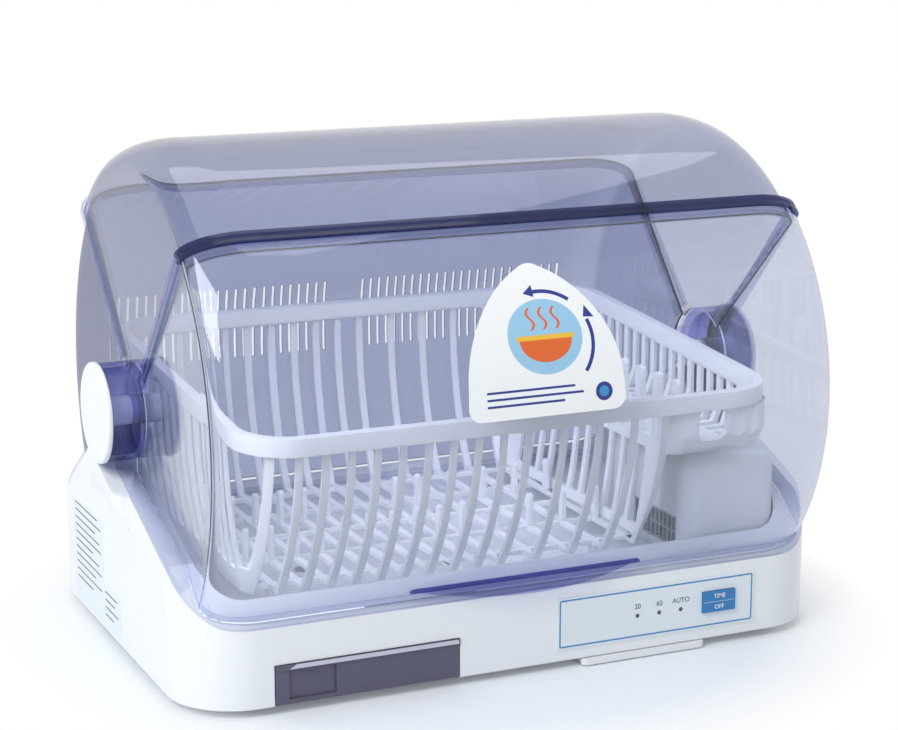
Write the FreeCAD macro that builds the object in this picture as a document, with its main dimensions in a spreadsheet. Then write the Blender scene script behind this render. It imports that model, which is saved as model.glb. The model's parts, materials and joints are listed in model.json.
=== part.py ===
import FreeCAD, Part
import Sketcher
import math
import os

# Countertop dish dryer: a white base with a drip tray, a fan heater at the right end, a removable
# basket and a dome of three clear shells that turn about one axis along X.
# Origin: on the table under the middle of the base. +X right, +Y to the back, +Z up. Millimetres.

doc = FreeCAD.newDocument("DishDryer")
sizes = doc.addObject("Spreadsheet::Sheet", "sizes")

DRIVING_SIZES = [
    # Base
    ("origin_forward", 11.0),
    ("base_width", 480.0),
    ("base_depth", 330.0),
    ("base_corner", 48.0),
    ("base_wall", 3.0),
    ("foot_drop", 6.0),
    ("rim_rise", 53.5),
    ("ledge_width", 22.0),
    ("deck_rise", 48.0),
    ("deck_thick", 3.0),
    ("front_shoulder_run", 43.0),
    ("front_shoulder_rise", 33.0),
    ("rear_shoulder_run", 56.0),
    ("rear_shoulder_rise", 39.0),
    ("shoulder_round", 30.0),
    ("rim_round", 16.0),
    ("plate_thick", 2.5),
    ("foot_radius", 9.0),
    ("foot_inset_across", 44.0),
    ("foot_inset_deep", 40.0),
    ("screw_radius", 1.5),
    ("screw_head", 3.2),
    ("boss_radius", 4.5),
    # Hinge
    ("pivot_back", -8.0),
    ("pivot_rise", 168.0),
    ("hub_radius", 34.0),
    ("hub_proud", 22.5),
    ("hub_wall", 4.0),
    ("saddle_gap", 3.0),
    ("saddle_back_angle", 30.0),
    ("cheek_proud", 1.0),
    ("cheek_half_width", 34.0),
    ("cheek_drop", 78.0),
    ("cap_radius", 35.0),
    ("cap_thick", 3.8),
    ("pin_radius", 10.0),
    ("pin_clearance", 0.05),
    ("pin_inset", 20.5),
    ("inner_boss_radius", 21.0),
    # Lids
    ("lid_radius", 187.0),
    ("lid_skin", 2.0),
    ("lid_gap", 1.0),
    ("lid_inset", 13.5),
    ("lid_corner_across", 40.0),
    ("lid_corner_deep", 17.0),
    ("front_lid_top_angle", 48.0),
    ("upper_lid_back_angle", 134.5),
    ("lid_overlap_angle", 4.0),
    ("edge_band_wide", 9.0),
    ("edge_band_proud", 2.6),
    ("skirt_high", 9.0),
    ("skirt_inset", 0.5),
    ("rear_skirt_high", 4.0),
    ("seat_gap", 0.4),
    ("grip_half_length", 84.0),
    ("grip_proud", 11.0),
    ("grip_low", 3.0),
    ("grip_high", 13.0),
    ("vent_wide", 2.4),
    ("vent_pitch", 7.2),
    ("vent_upper_top", 212.0),
    ("vent_upper_bottom", 188.0),
    ("vent_lower_top", 181.0),
    ("vent_lower_bottom", 156.0),
    ("vent_inner_edge", 16.0),
    ("vent_outer_edge", 190.0),
    # Labels
    ("sticker_thick", 0.35),
    ("sticker_half_width", 57.0),
    ("sticker_low_angle", 4.5),
    ("sticker_high_angle", 36.0),
    ("rating_thick", 0.3),
    ("rating_front", -12.0),
    ("rating_back", 105.0),
    ("rating_step", 28.0),
    ("rating_step_high", 34.0),
    ("rating_low", 4.0),
    ("rating_high", 80.0),
    # Control panel
    ("panel_left", 22.5),
    ("panel_right", 178.5),
    ("panel_low", 8.0),
    ("panel_high", 45.0),
    ("panel_thick", 0.8),
    ("button_centre", 149.3),
    ("button_rise", 27.0),
    ("button_wide", 26.5),
    ("button_high", 15.6),
    ("button_proud", 1.8),
    ("button_play", 0.3),
    ("button_travel", 1.2),
    ("lamp_radius", 1.5),
    ("lamp_rise", 24.6),
    ("lamp_first", 84.7),
    ("lamp_pitch", 17.2),
    ("board_thick", 1.6),
    ("board_back", 9.0),
    # Drip tray
    ("tray_left", -182.0),
    ("tray_right", -50.0),
    ("tray_high", 28.0),
    ("tray_deep", 190.0),
    ("tray_wall", 2.0),
    ("tray_play", 0.6),
    ("tray_front_thick", 3.0),
    ("tray_window_wide", 33.0),
    ("tray_window_high", 20.0),
    ("drain_radius", 7.0),
    ("drain_across", -115.0),
    ("drain_back", -40.0),
    # Air filter
    ("filter_left", 42.0),
    ("filter_right", 138.0),
    ("filter_deep", 112.0),
    ("filter_thick", 3.2),
    ("filter_rim", 7.0),
    ("filter_mesh_thick", 1.2),
    ("filter_tongue", 4.0),
    # Fan heater
    ("cover_left", 138.0),
    ("cover_right", 214.0),
    ("cover_front", -138.0),
    ("cover_back", -18.0),
    ("cover_high", 124.0),
    ("cover_wall", 2.5),
    ("cover_corner", 14.0),
    ("cover_top_round", 13.0),
    ("grille_front", -123.0),
    ("grille_back", -62.0),
    ("grille_low", 55.0),
    ("grille_high", 78.0),
    ("grille_thick", 2.0),
    ("grille_bar", 1.6),
    ("fan_across", 178.5),
    ("fan_back", -56.0),
    ("fan_radius", 25.0),
    ("fan_high", 20.0),
    ("casing_radius", 30.5),
    ("casing_wall", 1.6),
    ("casing_low", 51.5),
    ("casing_high", 82.0),
    ("motor_radius", 19.0),
    ("motor_high", 28.0),
    ("shaft_radius", 2.0),
    ("heater_thick", 8.0),
    ("heater_frame_wall", 2.0),
    # Basket
    ("rack_half_width", 198.0),
    ("rack_front", -165.0),
    ("rack_back", 145.0),
    ("rack_corner", 38.0),
    ("rack_rim_wide", 7.5),
    ("rack_rim_high", 12.0),
    ("rack_front_top", 177.0),
    ("rack_back_top", 200.0),
    ("rack_wall", 3.2),
    ("rack_floor_rise", 60.0),
    ("rack_waist_rise", 92.0),
    ("rack_deep_right", 126.0),
    ("rack_shelf_rise", 133.0),
    ("rack_bar", 5.2),
    ("rack_close_pitch", 18.1),
    ("rack_wide_pitch", 26.9),
    ("rack_first_bar", -179.0),
    ("rack_prong_pitch", 25.0),
    ("rack_prong_wide", 9.0),
    ("rack_prong_top", 184.0),
    ("rack_finger_high", 21.0),
    ("rack_slot_pitch", 14.0),
    ("rack_left_bar", -107.0),
    ("rack_wall_split", 95.0),
    ("rack_strip_high", 1.5),
    ("rack_corner_rise", 20.0),
    ("rack_window_wide", 22.0),
    ("rack_window_high", 24.0),
    ("rack_window_round", 7.0),
    ("rack_groove_radius", 7.0),
    ("rack_groove_deep", 1.4),
    # Mains inlet
    ("gland_radius", 6.0),
    ("gland_across", 166.0),
    ("gland_rise", 18.0),
    ("inlet_half_width", 26.0),
]

for row, (alias, value) in enumerate(DRIVING_SIZES, start=1):
    sizes.set("A%d" % row, alias.replace("_", " "))
    sizes.set("B%d" % row, "%.6g" % value)
    sizes.setAlias("B%d" % row, alias)
doc.recompute()


def size(alias):
    """The number in the sheet's cell of that name."""
    return float(sizes.get(alias))


V = FreeCAD.Vector
X_AXIS = V(1, 0, 0)
Z_AXIS = V(0, 0, 1)
nodes = []


# Building blocks whose sizes are bound to the sheet

def bind(thing, **expressions):
    """Binds properties to expressions; a double underscore stands for a dot."""
    for name, expression in expressions.items():
        thing.setExpression(name.replace("__", "."), expression)
    return thing


def place(thing, x, y, z):
    return bind(thing, Placement__Base__x=x, Placement__Base__y=y, Placement__Base__z=z)


def block(name, x, y, z, length, width, height):
    """A box from its low corner."""
    box = doc.addObject("Part::Box", name)
    bind(box, Length=length, Width=width, Height=height)
    return place(box, x, y, z)


def rod(name, direction, x, y, z, radius, length):
    """A round bar along +X, +Y or +Z from the middle of its first end."""
    bar = doc.addObject("Part::Cylinder", name)
    bar.Placement.Rotation = FreeCAD.Rotation(Z_AXIS, direction)
    bind(bar, Radius=radius, Height=length)
    return place(bar, x, y, z)


def cut(name, base, tool):
    result = doc.addObject("Part::Cut", name)
    result.Base = base
    result.Tool = tool
    return result


def fuse(name, *shapes):
    result = doc.addObject("Part::MultiFuse", name)
    result.Shapes = list(shapes)
    return result


def shaped(name, shape):
    """An object whose shape is made below from the sheet's sizes."""
    thing = doc.addObject("Part::Feature", name)
    thing.Shape = shape
    thing.Placement = FreeCAD.Placement(V(0, 0, 0), FreeCAD.Rotation())
    return thing


def node(thing, label):
    """Marks a finished piece and gives it its name."""
    thing.Label = label
    nodes.append(thing)
    return thing


def origin_plane(body, role):
    for feature in body.Origin.OriginFeatures:
        if feature.Role == role:
            return feature
    raise ValueError(role)


def rounded_outline(sketch, width, depth, corner):
    """A rectangle with round corners about the sketch's origin; its three sizes are expressions."""
    half_w = sketch.evalExpression(width) / 2
    half_d = sketch.evalExpression(depth) / 2
    r = sketch.evalExpression(corner)
    corners = [(1, 1), (-1, 1), (-1, -1), (1, -1)]
    for turn, (sx, sy) in enumerate(corners):
        centre = V(sx * (half_w - r), sy * (half_d - r), 0)
        circle = Part.Circle(centre, Z_AXIS, r)
        start = turn * math.pi / 2
        sketch.addGeometry(Part.ArcOfCircle(circle, start, start + math.pi / 2), False)
    sketch.addGeometry(Part.LineSegment(V(half_w - r, half_d, 0), V(r - half_w, half_d, 0)), False)
    sketch.addGeometry(Part.LineSegment(V(-half_w, half_d - r, 0), V(-half_w, r - half_d, 0)), False)
    sketch.addGeometry(Part.LineSegment(V(r - half_w, -half_d, 0), V(half_w - r, -half_d, 0)), False)
    sketch.addGeometry(Part.LineSegment(V(half_w, r - half_d, 0), V(half_w, half_d - r, 0)), False)
    add = sketch.addConstraint
    for turn in range(4):
        line = 4 + turn
        add(Sketcher.Constraint("Tangent", turn, 2, line, 1))
        add(Sketcher.Constraint("Tangent", line, 2, (turn + 1) % 4, 1))
    add(Sketcher.Constraint("Horizontal", 4))
    add(Sketcher.Constraint("Vertical", 5))
    for turn in range(1, 4):
        add(Sketcher.Constraint("Equal", 0, turn))
    add(Sketcher.Constraint("Symmetric", 0, 3, 2, 3, -1, 1))
    add(Sketcher.Constraint("DistanceX", 5, 1, 7, 1, 2 * half_w))
    sketch.renameConstraint(sketch.ConstraintCount - 1, "width")
    add(Sketcher.Constraint("DistanceY", 6, 1, 4, 1, 2 * half_d))
    sketch.renameConstraint(sketch.ConstraintCount - 1, "depth")
    add(Sketcher.Constraint("Radius", 0, r))
    sketch.renameConstraint(sketch.ConstraintCount - 1, "corner")
    sketch.setExpression("Constraints.width", width)
    sketch.setExpression("Constraints.depth", depth)
    sketch.setExpression("Constraints.corner", corner)


def slab(name, x, y, z, width, depth, corner, height):
    """A body: a plate with round corners, from the middle of its lower face."""
    body = doc.addObject("PartDesign::Body", name)
    sketch = body.newObject("Sketcher::SketchObject", name + "_outline")
    sketch.AttachmentSupport = [(origin_plane(body, "XY_Plane"), "")]
    sketch.MapMode = "FlatFace"
    rounded_outline(sketch, width, depth, corner)
    pad = body.newObject("PartDesign::Pad", name + "_pad")
    pad.Profile = sketch
    pad.setExpression("Length", height)
    body.Tip = pad
    return place(body, x, y, z)


def path_edges(points, radii):
    """Edges through the points, each inner corner rounded by its radius."""
    edges = []
    start = points[0]
    for index in range(1, len(points) - 1):
        before, corner, after = points[index - 1], points[index], points[index + 1]
        into = (corner - before).normalize()
        out = (after - corner).normalize()
        turn = into.getAngle(out)
        radius = radii[index - 1]
        if radius <= 0 or turn < 0.01:
            edges.append(Part.LineSegment(start, corner).toShape())
            start = corner
            continue
        back = radius * math.tan(turn / 2)
        first = corner - into * back
        last = corner + out * back
        inward = (out - into).normalize()
        middle = corner + inward * (radius / math.cos(turn / 2) - radius)
        if (first - start).Length > 1e-6:
            edges.append(Part.LineSegment(start, first).toShape())
        edges.append(Part.Arc(first, middle, last).toShape())
        start = last
    edges.append(Part.LineSegment(start, points[-1]).toShape())
    return edges


# Values that several pieces share

half_width = size("base_width") / 2
half_depth = size("base_depth") / 2
floor_edge = size("foot_drop")
rim_top = floor_edge + size("rim_rise")
deck_top = floor_edge + size("deck_rise")
deck_under = deck_top - size("deck_thick")
pivot_y = size("pivot_back")
pivot_z = floor_edge + size("pivot_rise")
saddle_radius = size("hub_radius") + size("saddle_gap")
wall = size("base_wall")
lid_reach = half_width - size("lid_inset")
hub_reach = lid_reach + size("hub_proud")
pin_inner_reach = lid_reach - size("pin_inset")
lid_skin = size("lid_skin")
lid_step = lid_skin + size("lid_gap")

FLOOR = "sizes.foot_drop"
DECK = "(sizes.foot_drop + sizes.deck_rise)"
FRONT = "(-sizes.base_depth / 2)"
PIVOT_Z = "(sizes.foot_drop + sizes.pivot_rise)"
LID_REACH = "(sizes.base_width / 2 - sizes.lid_inset)"
HUB_REACH = "(%s + sizes.hub_proud)" % LID_REACH
PIN_INNER = "(%s - sizes.pin_inset)" % LID_REACH


def rim_path(lift):
    """The base's top edge seen from the side, raised by lift, running from front to back."""
    centre = V(0, pivot_y, pivot_z)
    front_low = V(0, -half_depth - 30, rim_top + lift)
    front_toe = V(0, -half_depth + 5, rim_top + lift)
    front_knee = V(0, -half_depth + size("front_shoulder_run"),
                   rim_top + size("front_shoulder_rise") + lift)
    radius = saddle_radius - lift
    toward = front_knee - centre
    lean = math.acos(radius / toward.Length)
    heading = math.atan2(toward.z, toward.y) + lean
    saddle_start = centre + V(0, math.cos(heading), math.sin(heading)) * radius
    # A raised path ends a little higher on the saddle, so that it stays clear of the corner there
    end = -math.radians(size("saddle_back_angle") - 2 * lift)
    saddle_end = centre + V(0, math.cos(end), math.sin(end)) * radius
    middle = (heading - 2 * math.pi + end) / 2 if heading > math.pi else (heading + end) / 2
    saddle_low = centre + V(0, math.cos(middle), math.sin(middle)) * radius
    back_knee = V(0, half_depth - size("rear_shoulder_run"),
                  rim_top + size("rear_shoulder_rise") + lift)
    back_toe = V(0, half_depth - 10, rim_top + lift)
    back_low = V(0, half_depth + 30, rim_top + lift)
    front = path_edges([front_low, front_toe, front_knee, saddle_start],
                       [size("rim_round"), size("shoulder_round")])
    saddle = [Part.Arc(saddle_start, saddle_low, saddle_end).toShape()]
    back = path_edges([saddle_end, back_knee, back_toe, back_low],
                      [size("shoulder_round"), size("rim_round")])
    return front + saddle + back


def under_rim(lift):
    """Everything below the base's top edge, the edge raised by lift."""
    edges = rim_path(lift)
    start = edges[0].Vertexes[0].Point
    end = V(0, half_depth + 30, rim_top + lift)
    low = -50.0
    closing = Part.makePolygon([end, V(0, end.y, low), V(0, start.y, low), start]).Edges
    face = Part.Face(Part.Wire(Part.__sortEdges__(edges + closing)))
    solid = face.extrude(V(2 * half_width + 80, 0, 0))
    solid.translate(V(-half_width - 40, 0, 0))
    return solid


def plan_prism(inset, low, high):
    """The base's plan outline moved inwards by inset, between two heights."""
    w = half_width - inset
    d = half_depth - inset
    r = max(size("base_corner") - inset, 2.0)
    box = Part.makeBox(2 * w, 2 * d, high - low, V(-w, -d, low))
    upright = [edge for edge in box.Edges if abs(edge.tangentAt(edge.FirstParameter).z) > 0.99]
    return box.makeFillet(r, upright)


def x_rod(radius, start, end, y=None, z=None):
    """A round bar along X between two stations, on the hinge axis unless placed elsewhere."""
    y = pivot_y if y is None else y
    z = pivot_z if z is None else z
    return Part.makeCylinder(radius, end - start, V(start, y, z), X_AXIS)


def both_sides(make):
    """The same shape at the left and the right; make gets -1 and 1."""
    return [make(side) for side in (-1, 1)]


def side_rod(side, radius, near, far):
    """A round bar on the hinge axis between two distances from the middle."""
    start = near if side > 0 else -far
    return x_rod(radius, start, start + far - near)


# Base housing

def base_housing():
    top = pivot_z
    outer = plan_prism(0, floor_edge, top).common(under_rim(0))
    outer = outer.fuse([thick.common(under_rim(0)) for thick in both_sides(cheek)])
    tub_inset = size("ledge_width")
    tub = plan_prism(tub_inset, deck_top, top + 10)
    tub_block = plan_prism(tub_inset - wall, deck_under, top + 10)
    underside = plan_prism(wall, floor_edge - 5, top).common(under_rim(-wall)).cut(tub_block)
    shell = outer.cut([tub, underside])
    hub_room = x_rod(saddle_radius, -half_width - 30, half_width + 30)
    shell = shell.cut(hub_room)
    pieces = []
    for x, y in screw_places():
        pieces.append(Part.makeCylinder(size("boss_radius"), deck_under - plate_top + 1, V(x, y, plate_top)))
    for x, z in board_screw_places():
        pieces.append(Part.makeCylinder(size("boss_radius"), size("board_back") - wall + 0.5,
                                        V(x, -half_depth + wall - 0.5, z), V(0, 1, 0)))
    drain = V(size("drain_across"), size("drain_back"), 0)
    pieces.append(Part.makeCylinder(size("drain_radius") + 2, deck_top - drain_foot - 0.5,
                                    drain + V(0, 0, drain_foot)))
    shell = shell.fuse(pieces)
    holes = []
    for x, y in screw_places():
        holes.append(Part.makeCylinder(size("screw_radius"), 14, V(x, y, plate_top - 1)))
    for x, z in board_screw_places():
        holes.append(Part.makeCylinder(size("screw_radius") * 0.8, 5,
                                       V(x, -half_depth + wall + 1, z), V(0, 1, 0)))
    holes.append(Part.makeCylinder(size("drain_radius"), 60, drain))
    holes.append(Part.makeBox(size("tray_right") - size("tray_left"), 20,
                              floor_edge + size("tray_high") + 10,
                              V(size("tray_left"), -half_depth - 5, -10)))
    holes.append(Part.makeBox(size("button_wide"), 20, size("button_high"),
                              V(size("button_centre") - size("button_wide") / 2, -half_depth - 5,
                                floor_edge + size("button_rise") - size("button_high") / 2)))
    for x in lamp_places():
        holes.append(Part.makeCylinder(size("lamp_radius") + 0.2, 20,
                                       V(x, -half_depth - 5, floor_edge + size("lamp_rise")), V(0, 1, 0)))
    holes.append(fan_well())
    for x, y in cover_screw_places():
        holes.append(Part.makeCylinder(size("screw_radius"), 8, V(x, y, deck_under - 2)))
    holes.append(Part.makeCylinder(size("gland_radius"), 20,
                                   V(size("gland_across"), half_depth - 10,
                                     floor_edge + size("gland_rise")), V(0, 1, 0)))
    for x, y in rear_cover_screw_places():
        holes.append(Part.makeCylinder(size("screw_radius"), 12, V(x, y, rim_top - 11)))
    return shell.cut(holes).removeSplitter()


def cheek(side):
    """The thickening of a side wall that follows the hub's lower half and fades out below it."""
    depth = hub_reach + size("cheek_proud") - half_width
    reach = size("cheek_half_width")
    top = pivot_z - saddle_radius * math.sin(math.radians(size("saddle_back_angle")))
    low = pivot_z - size("cheek_drop")
    face = Part.Face(Part.makePolygon([
        V(half_width, 0, low), V(half_width + depth, 0, low + depth * 2.2),
        V(half_width + depth, 0, top), V(half_width, 0, top), V(half_width, 0, low)]))
    solid = face.extrude(V(0, 2 * reach, 0))
    solid.translate(V(0, pivot_y - reach, 0))
    outer_upright = [edge for edge in solid.Edges
                     if abs(edge.tangentAt(edge.FirstParameter).z) > 0.99
                     and edge.CenterOfMass.x > half_width + depth - 0.1]
    solid = solid.makeFillet(depth * 0.9, outer_upright)
    if side < 0:
        solid = solid.mirror(V(0, 0, 0), X_AXIS)
    return solid


def fan_well():
    """The opening in the deck under the fan cover."""
    inset = size("cover_wall") + 2.0
    x0, x1 = size("cover_left") + inset, size("cover_right") - inset
    y0, y1 = size("cover_front") + inset, size("cover_back") - inset
    box = Part.makeBox(x1 - x0, y1 - y0, 12, V(x0, y0, deck_under - 4))
    upright = [edge for edge in box.Edges if abs(edge.tangentAt(edge.FirstParameter).z) > 0.99]
    return box.makeFillet(size("cover_corner") - inset, upright)


def screw_places():
    """Screws of the bottom plate: two rows across the base, clear of tray and filter."""
    x = half_width - size("ledge_width") - 2 * size("boss_radius")
    y = half_depth - 62
    return [(-x, -y + 30), (x, -y + 30), (-x, y), (0, y), (x, y), (-24, -y)]


def board_screw_places():
    z = floor_edge + (size("panel_low") + size("panel_high")) / 2
    return [(size("panel_left") + 14, z), (size("panel_right") - 5, z - 12)]


def cover_screw_places():
    """Two ears on the cover's rear face."""
    inset = size("cover_corner") + 8
    return [(size("cover_left") + inset, size("cover_back") + 4),
            (size("cover_right") - inset, size("cover_back") + 4)]


def rear_cover_screw_places():
    y = half_depth - size("ledge_width") / 3
    return [(-half_width / 2, y), (half_width / 2, y)]


def lamp_places():
    return [size("lamp_first") + turn * size("lamp_pitch") for turn in range(3)]


plate_top = floor_edge + size("plate_thick")
drain_foot = floor_edge + size("tray_high") + 6
tub_x = half_width - size("ledge_width")
tub_y = half_depth - size("ledge_width")
corner_x = half_width - size("base_corner")
corner_y = half_depth - size("base_corner")
inlet_left = size("gland_across") - size("inlet_half_width")
inlet_right = size("gland_across") + size("inlet_half_width")
outside = size("base_width")


def zone(x0, x1, y0, y1, z0=-outside, z1=outside):
    """A box between two stations along each axis."""
    return Part.makeBox(x1 - x0, y1 - y0, z1 - z0, V(x0, y0, z0))


def corner_walls(sign):
    """The round corners of the inner wall at one end, above the deck."""
    x0, x1 = (corner_x, tub_x) if sign > 0 else (-tub_x, -corner_x)
    return [zone(x0, x1, -tub_y, -corner_y, deck_top), zone(x0, x1, corner_y, tub_y, deck_top)]


# The housing is one moulding, written as seven pieces that meet face to face
HOUSING_ZONES = [
    ("base_left_end", [zone(-outside, -tub_x, -outside, outside)] + corner_walls(-1)),
    ("base_right_end", [zone(tub_x, outside, -outside, outside)] + corner_walls(1)),
    ("base_front_wall", [zone(-tub_x, tub_x, -outside, -tub_y)]),
    ("base_rear_wall", [zone(-tub_x, inlet_left, tub_y, outside), zone(inlet_right, tub_x, tub_y, outside)]),
    ("base_inlet_wall", [zone(inlet_left, inlet_right, tub_y, outside)]),
    ("base_deck", [zone(-tub_x, tub_x, -tub_y, tub_y, deck_under, deck_top)]),
    ("base_bosses", [zone(-tub_x, tub_x, -tub_y, tub_y, -outside, deck_under)]),
]
housing = base_housing()
for label, boxes in HOUSING_ZONES:
    name = label.title().replace("_", "")
    node(shaped(name, Part.makeCompound([housing.common(box) for box in boxes])), label)


# Lids: shells turned about the hinge axis. Angles run from straight ahead, over the top, to the back.

def lid_face(offset, thick, core):
    """The shell's section in a half plane through the axis, with soft shoulders."""
    outer_r = size("lid_radius") + offset
    outer_x = lid_reach + offset
    a = size("lid_corner_across")
    b = size("lid_corner_deep")

    def outline(inset, radius_at_core):
        x = outer_x - inset
        r = outer_r - inset
        aa = a - inset
        bb = b - inset
        left = Part.ArcOfEllipse(Part.Ellipse(V(-x + aa, r - bb, 0), aa, bb), math.pi / 2, math.pi)
        right = Part.ArcOfEllipse(Part.Ellipse(V(x - aa, r - bb, 0), aa, bb), 0, math.pi / 2)
        return [
            Part.LineSegment(V(-x, radius_at_core, 0), V(-x, r - bb, 0)).toShape(),
            left.toShape(),
            Part.LineSegment(V(-x + aa, r, 0), V(x - aa, r, 0)).toShape(),
            right.toShape(),
            Part.LineSegment(V(x, r - bb, 0), V(x, radius_at_core, 0)).toShape(),
        ]

    outer = outline(0.0, core)
    if thick is None:
        edges = outer + [Part.LineSegment(V(outer_x, core, 0), V(-outer_x, core, 0)).toShape()]
    else:
        inner = outline(thick, core)
        x_in = outer_x - thick
        edges = outer + inner + [
            Part.LineSegment(V(-outer_x, core, 0), V(-x_in, core, 0)).toShape(),
            Part.LineSegment(V(outer_x, core, 0), V(x_in, core, 0)).toShape(),
        ]
    return Part.Face(Part.Wire(Part.__sortEdges__(edges)))


def turned(face, start, end):
    """The section swept from one angle to the other, about the hinge axis."""
    section = face.copy()
    section.rotate(V(0, 0, 0), X_AXIS, 180 - start)
    solid = section.revolve(V(0, 0, 0), V(-1, 0, 0), end - start)
    solid.translate(V(0, pivot_y, pivot_z))
    return solid


def edge_slab(angle, thick, forward):
    """A flat slice that ends at the half plane of that angle, on its front or back side."""
    length = size("lid_radius") + 40
    box = Part.makeBox(2 * half_width + 80, length, thick, V(-half_width - 40, -length, 0))
    if forward:
        box.translate(V(0, 0, -thick))
    box.rotate(V(0, 0, 0), X_AXIS, -angle)
    box.translate(V(0, pivot_y, pivot_z))
    return box


def edge_band(offset, thick, angle, forward, wide, proud):
    """A thickened edge along the half plane of that angle, standing out or in by proud."""
    core = size("hub_radius") - 6
    grown = max(proud, 0.0)
    full = lid_face(offset + grown, thick + abs(proud), core)
    lead = math.degrees(wide / 60.0)
    low, high = (angle - lead, angle) if forward else (angle, angle + lead)
    return turned(full, low, high).common(edge_slab(angle, wide, forward))


def skirt(offset, high):
    """The foot of a lid: a band on the base's edge, from the plan outline in to the shell."""
    band = plan_prism(size("skirt_inset"), floor_edge, pivot_z).common(
        under_rim(high).cut(under_rim(size("seat_gap"))))
    hollow = turned(lid_face(offset - lid_skin, None, 0.5), -180, 180)
    return band.cut(hollow)


def pick_side(shape, front):
    """The part of a shape in front of or behind the hub."""
    if front:
        return shape.common(zone(-outside, outside, -outside, pivot_y))
    return shape.common(zone(-outside, outside, pivot_y, outside))


def grip():
    """The finger lip at the foot of the front lid: a crescent ledge with a turned-down edge."""
    half = size("grip_half_length")
    proud = size("grip_proud")
    radius = (half * half + proud * proud) / (2 * proud)
    front = -half_depth + 0.5
    low = rim_top + size("grip_low")
    high = rim_top + size("grip_high")
    centre = V(0, front - proud + radius, 0)
    disc = Part.makeCylinder(radius, high - low, centre + V(0, 0, low))
    keep = Part.makeBox(2 * half, proud + 8, high - low, V(-half, front - proud, low))
    hollow = Part.makeCylinder(radius - 2.2, high - low, centre + V(0, 0, low - 2.2))
    hollow = hollow.common(Part.makeBox(2 * half, proud + 3, high, V(-half, front - proud - 3, 0)))
    return disc.common(keep).cut([hollow, under_rim(size("seat_gap"))])


def front_lid():
    top = size("front_lid_top_angle")
    core = size("hub_radius") - 8
    shell = turned(lid_face(0, lid_skin, core), -90, top)
    band = edge_band(0, lid_skin, top, True, size("edge_band_wide"), size("edge_band_proud"))
    foot = pick_side(skirt(0, size("skirt_high")), True)
    hubs = both_sides(lambda side: side_rod(side, size("hub_radius"), lid_reach - lid_skin,
                                            hub_reach))
    lid = shell.cut(under_rim(size("seat_gap"))).fuse([band, foot, grip()] + hubs)
    grooves = []
    middle = (lid_reach + hub_reach) / 2
    for side in (-1, 1):
        ring = side_rod(side, size("hub_radius") + 1, middle - 0.6, middle + 0.6)
        grooves.append(ring.cut(side_rod(side, size("hub_radius") - 1.2, middle - 1, middle + 1)))
    bore = x_rod(size("pin_radius") + size("pin_clearance"), -half_width - 30, half_width + 30)
    room = turned(lid_face(-lid_skin, None, 0.5), -180, 180)
    hollows = both_sides(lambda side: side_rod(
        side, size("hub_radius") - size("hub_wall"), lid_reach + lid_skin, hub_reach + 1).cut(
        side_rod(side, size("pin_radius") + size("hub_wall"), lid_reach, hub_reach + 2)))
    return lid.cut(grooves + hollows + [bore, room]).removeSplitter()


def upper_lid():
    back = size("upper_lid_back_angle")
    front = size("front_lid_top_angle") - size("lid_overlap_angle")
    core = size("hub_radius") - 8
    shell = turned(lid_face(-lid_step, lid_skin, core), front, back)
    back_band = edge_band(-lid_step, lid_skin, back, True, size("edge_band_wide") - 1.5,
                          size("edge_band_proud") - 0.2)
    reach = lid_reach - lid_step
    inner_hub = both_sides(lambda side: side_rod(side, size("hub_radius") + 1, 0.5 * reach,
                                                 reach - lid_skin))
    front_band = edge_band(-lid_step, lid_skin, front, False, 4.0, -2.0).cut(inner_hub)
    hubs = both_sides(lambda side: side_rod(side, size("hub_radius"), reach - lid_skin, reach))
    bore = x_rod(size("pin_radius") + size("pin_clearance"), -half_width, half_width)
    clear = turned(lid_face(0.0, None, 0.5), -180, 180)
    over = back_band.cut(both_sides(lambda side: side_rod(side, size("hub_radius") + 6, reach,
                                                          half_width)))
    keep_side = over.common(clear.fuse(edge_slab(back, size("edge_band_wide"), True)))
    return shell.fuse([keep_side, front_band] + hubs).cut(bore).removeSplitter()


def rear_cover():
    front = size("upper_lid_back_angle") - size("lid_overlap_angle")
    core = size("hub_radius") - 8
    offset = -2 * lid_step
    shell = turned(lid_face(offset, lid_skin, core), front, 270)
    front_band = edge_band(offset, lid_skin, front, False, 5.0, -3.0)
    foot = pick_side(skirt(offset, size("rear_skirt_high")), False)
    reach = lid_reach - 2 * lid_step
    hubs = both_sides(lambda side: side_rod(side, size("hub_radius"), reach - lid_skin, reach))
    bosses = both_sides(lambda side: side_rod(side, size("inner_boss_radius"),
                                              pin_inner_reach, reach))
    hub_rooms = both_sides(lambda side: side_rod(side, saddle_radius + 1, reach, half_width))
    foot = foot.cut(hub_rooms)
    cover = shell.cut(under_rim(size("seat_gap"))).fuse([front_band, foot] + hubs + bosses)
    cuts = [x_rod(size("pin_radius"), -half_width, half_width)]
    cuts += vent_slots()
    for x, y in rear_cover_screw_places():
        cuts.append(Part.makeCylinder(size("screw_radius") + 0.2, 30, V(x, y, rim_top - 5)))
        cuts.append(Part.makeCylinder(size("screw_head") + 0.4, 8,
                                      V(x, y, rim_top + size("rear_skirt_high") - 0.8)))
    return cover.cut(cuts).removeSplitter()


def vent_slots():
    """Two rows of upright slots in each half of the back."""
    slots = []
    count = int((size("vent_outer_edge") - size("vent_inner_edge")) / size("vent_pitch")) + 1
    rows = [(size("vent_upper_bottom"), size("vent_upper_top")),
            (size("vent_lower_bottom"), size("vent_lower_top"))]
    back = pivot_y + size("lid_radius") - 40
    for low, high in rows:
        for turn in range(count):
            x = size("vent_inner_edge") + turn * size("vent_pitch")
            for side in (-1, 1):
                slots.append(Part.makeBox(size("vent_wide"), 60, high - low,
                                          V(side * x - size("vent_wide") / 2, back, low + floor_edge)))
    return slots


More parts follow.
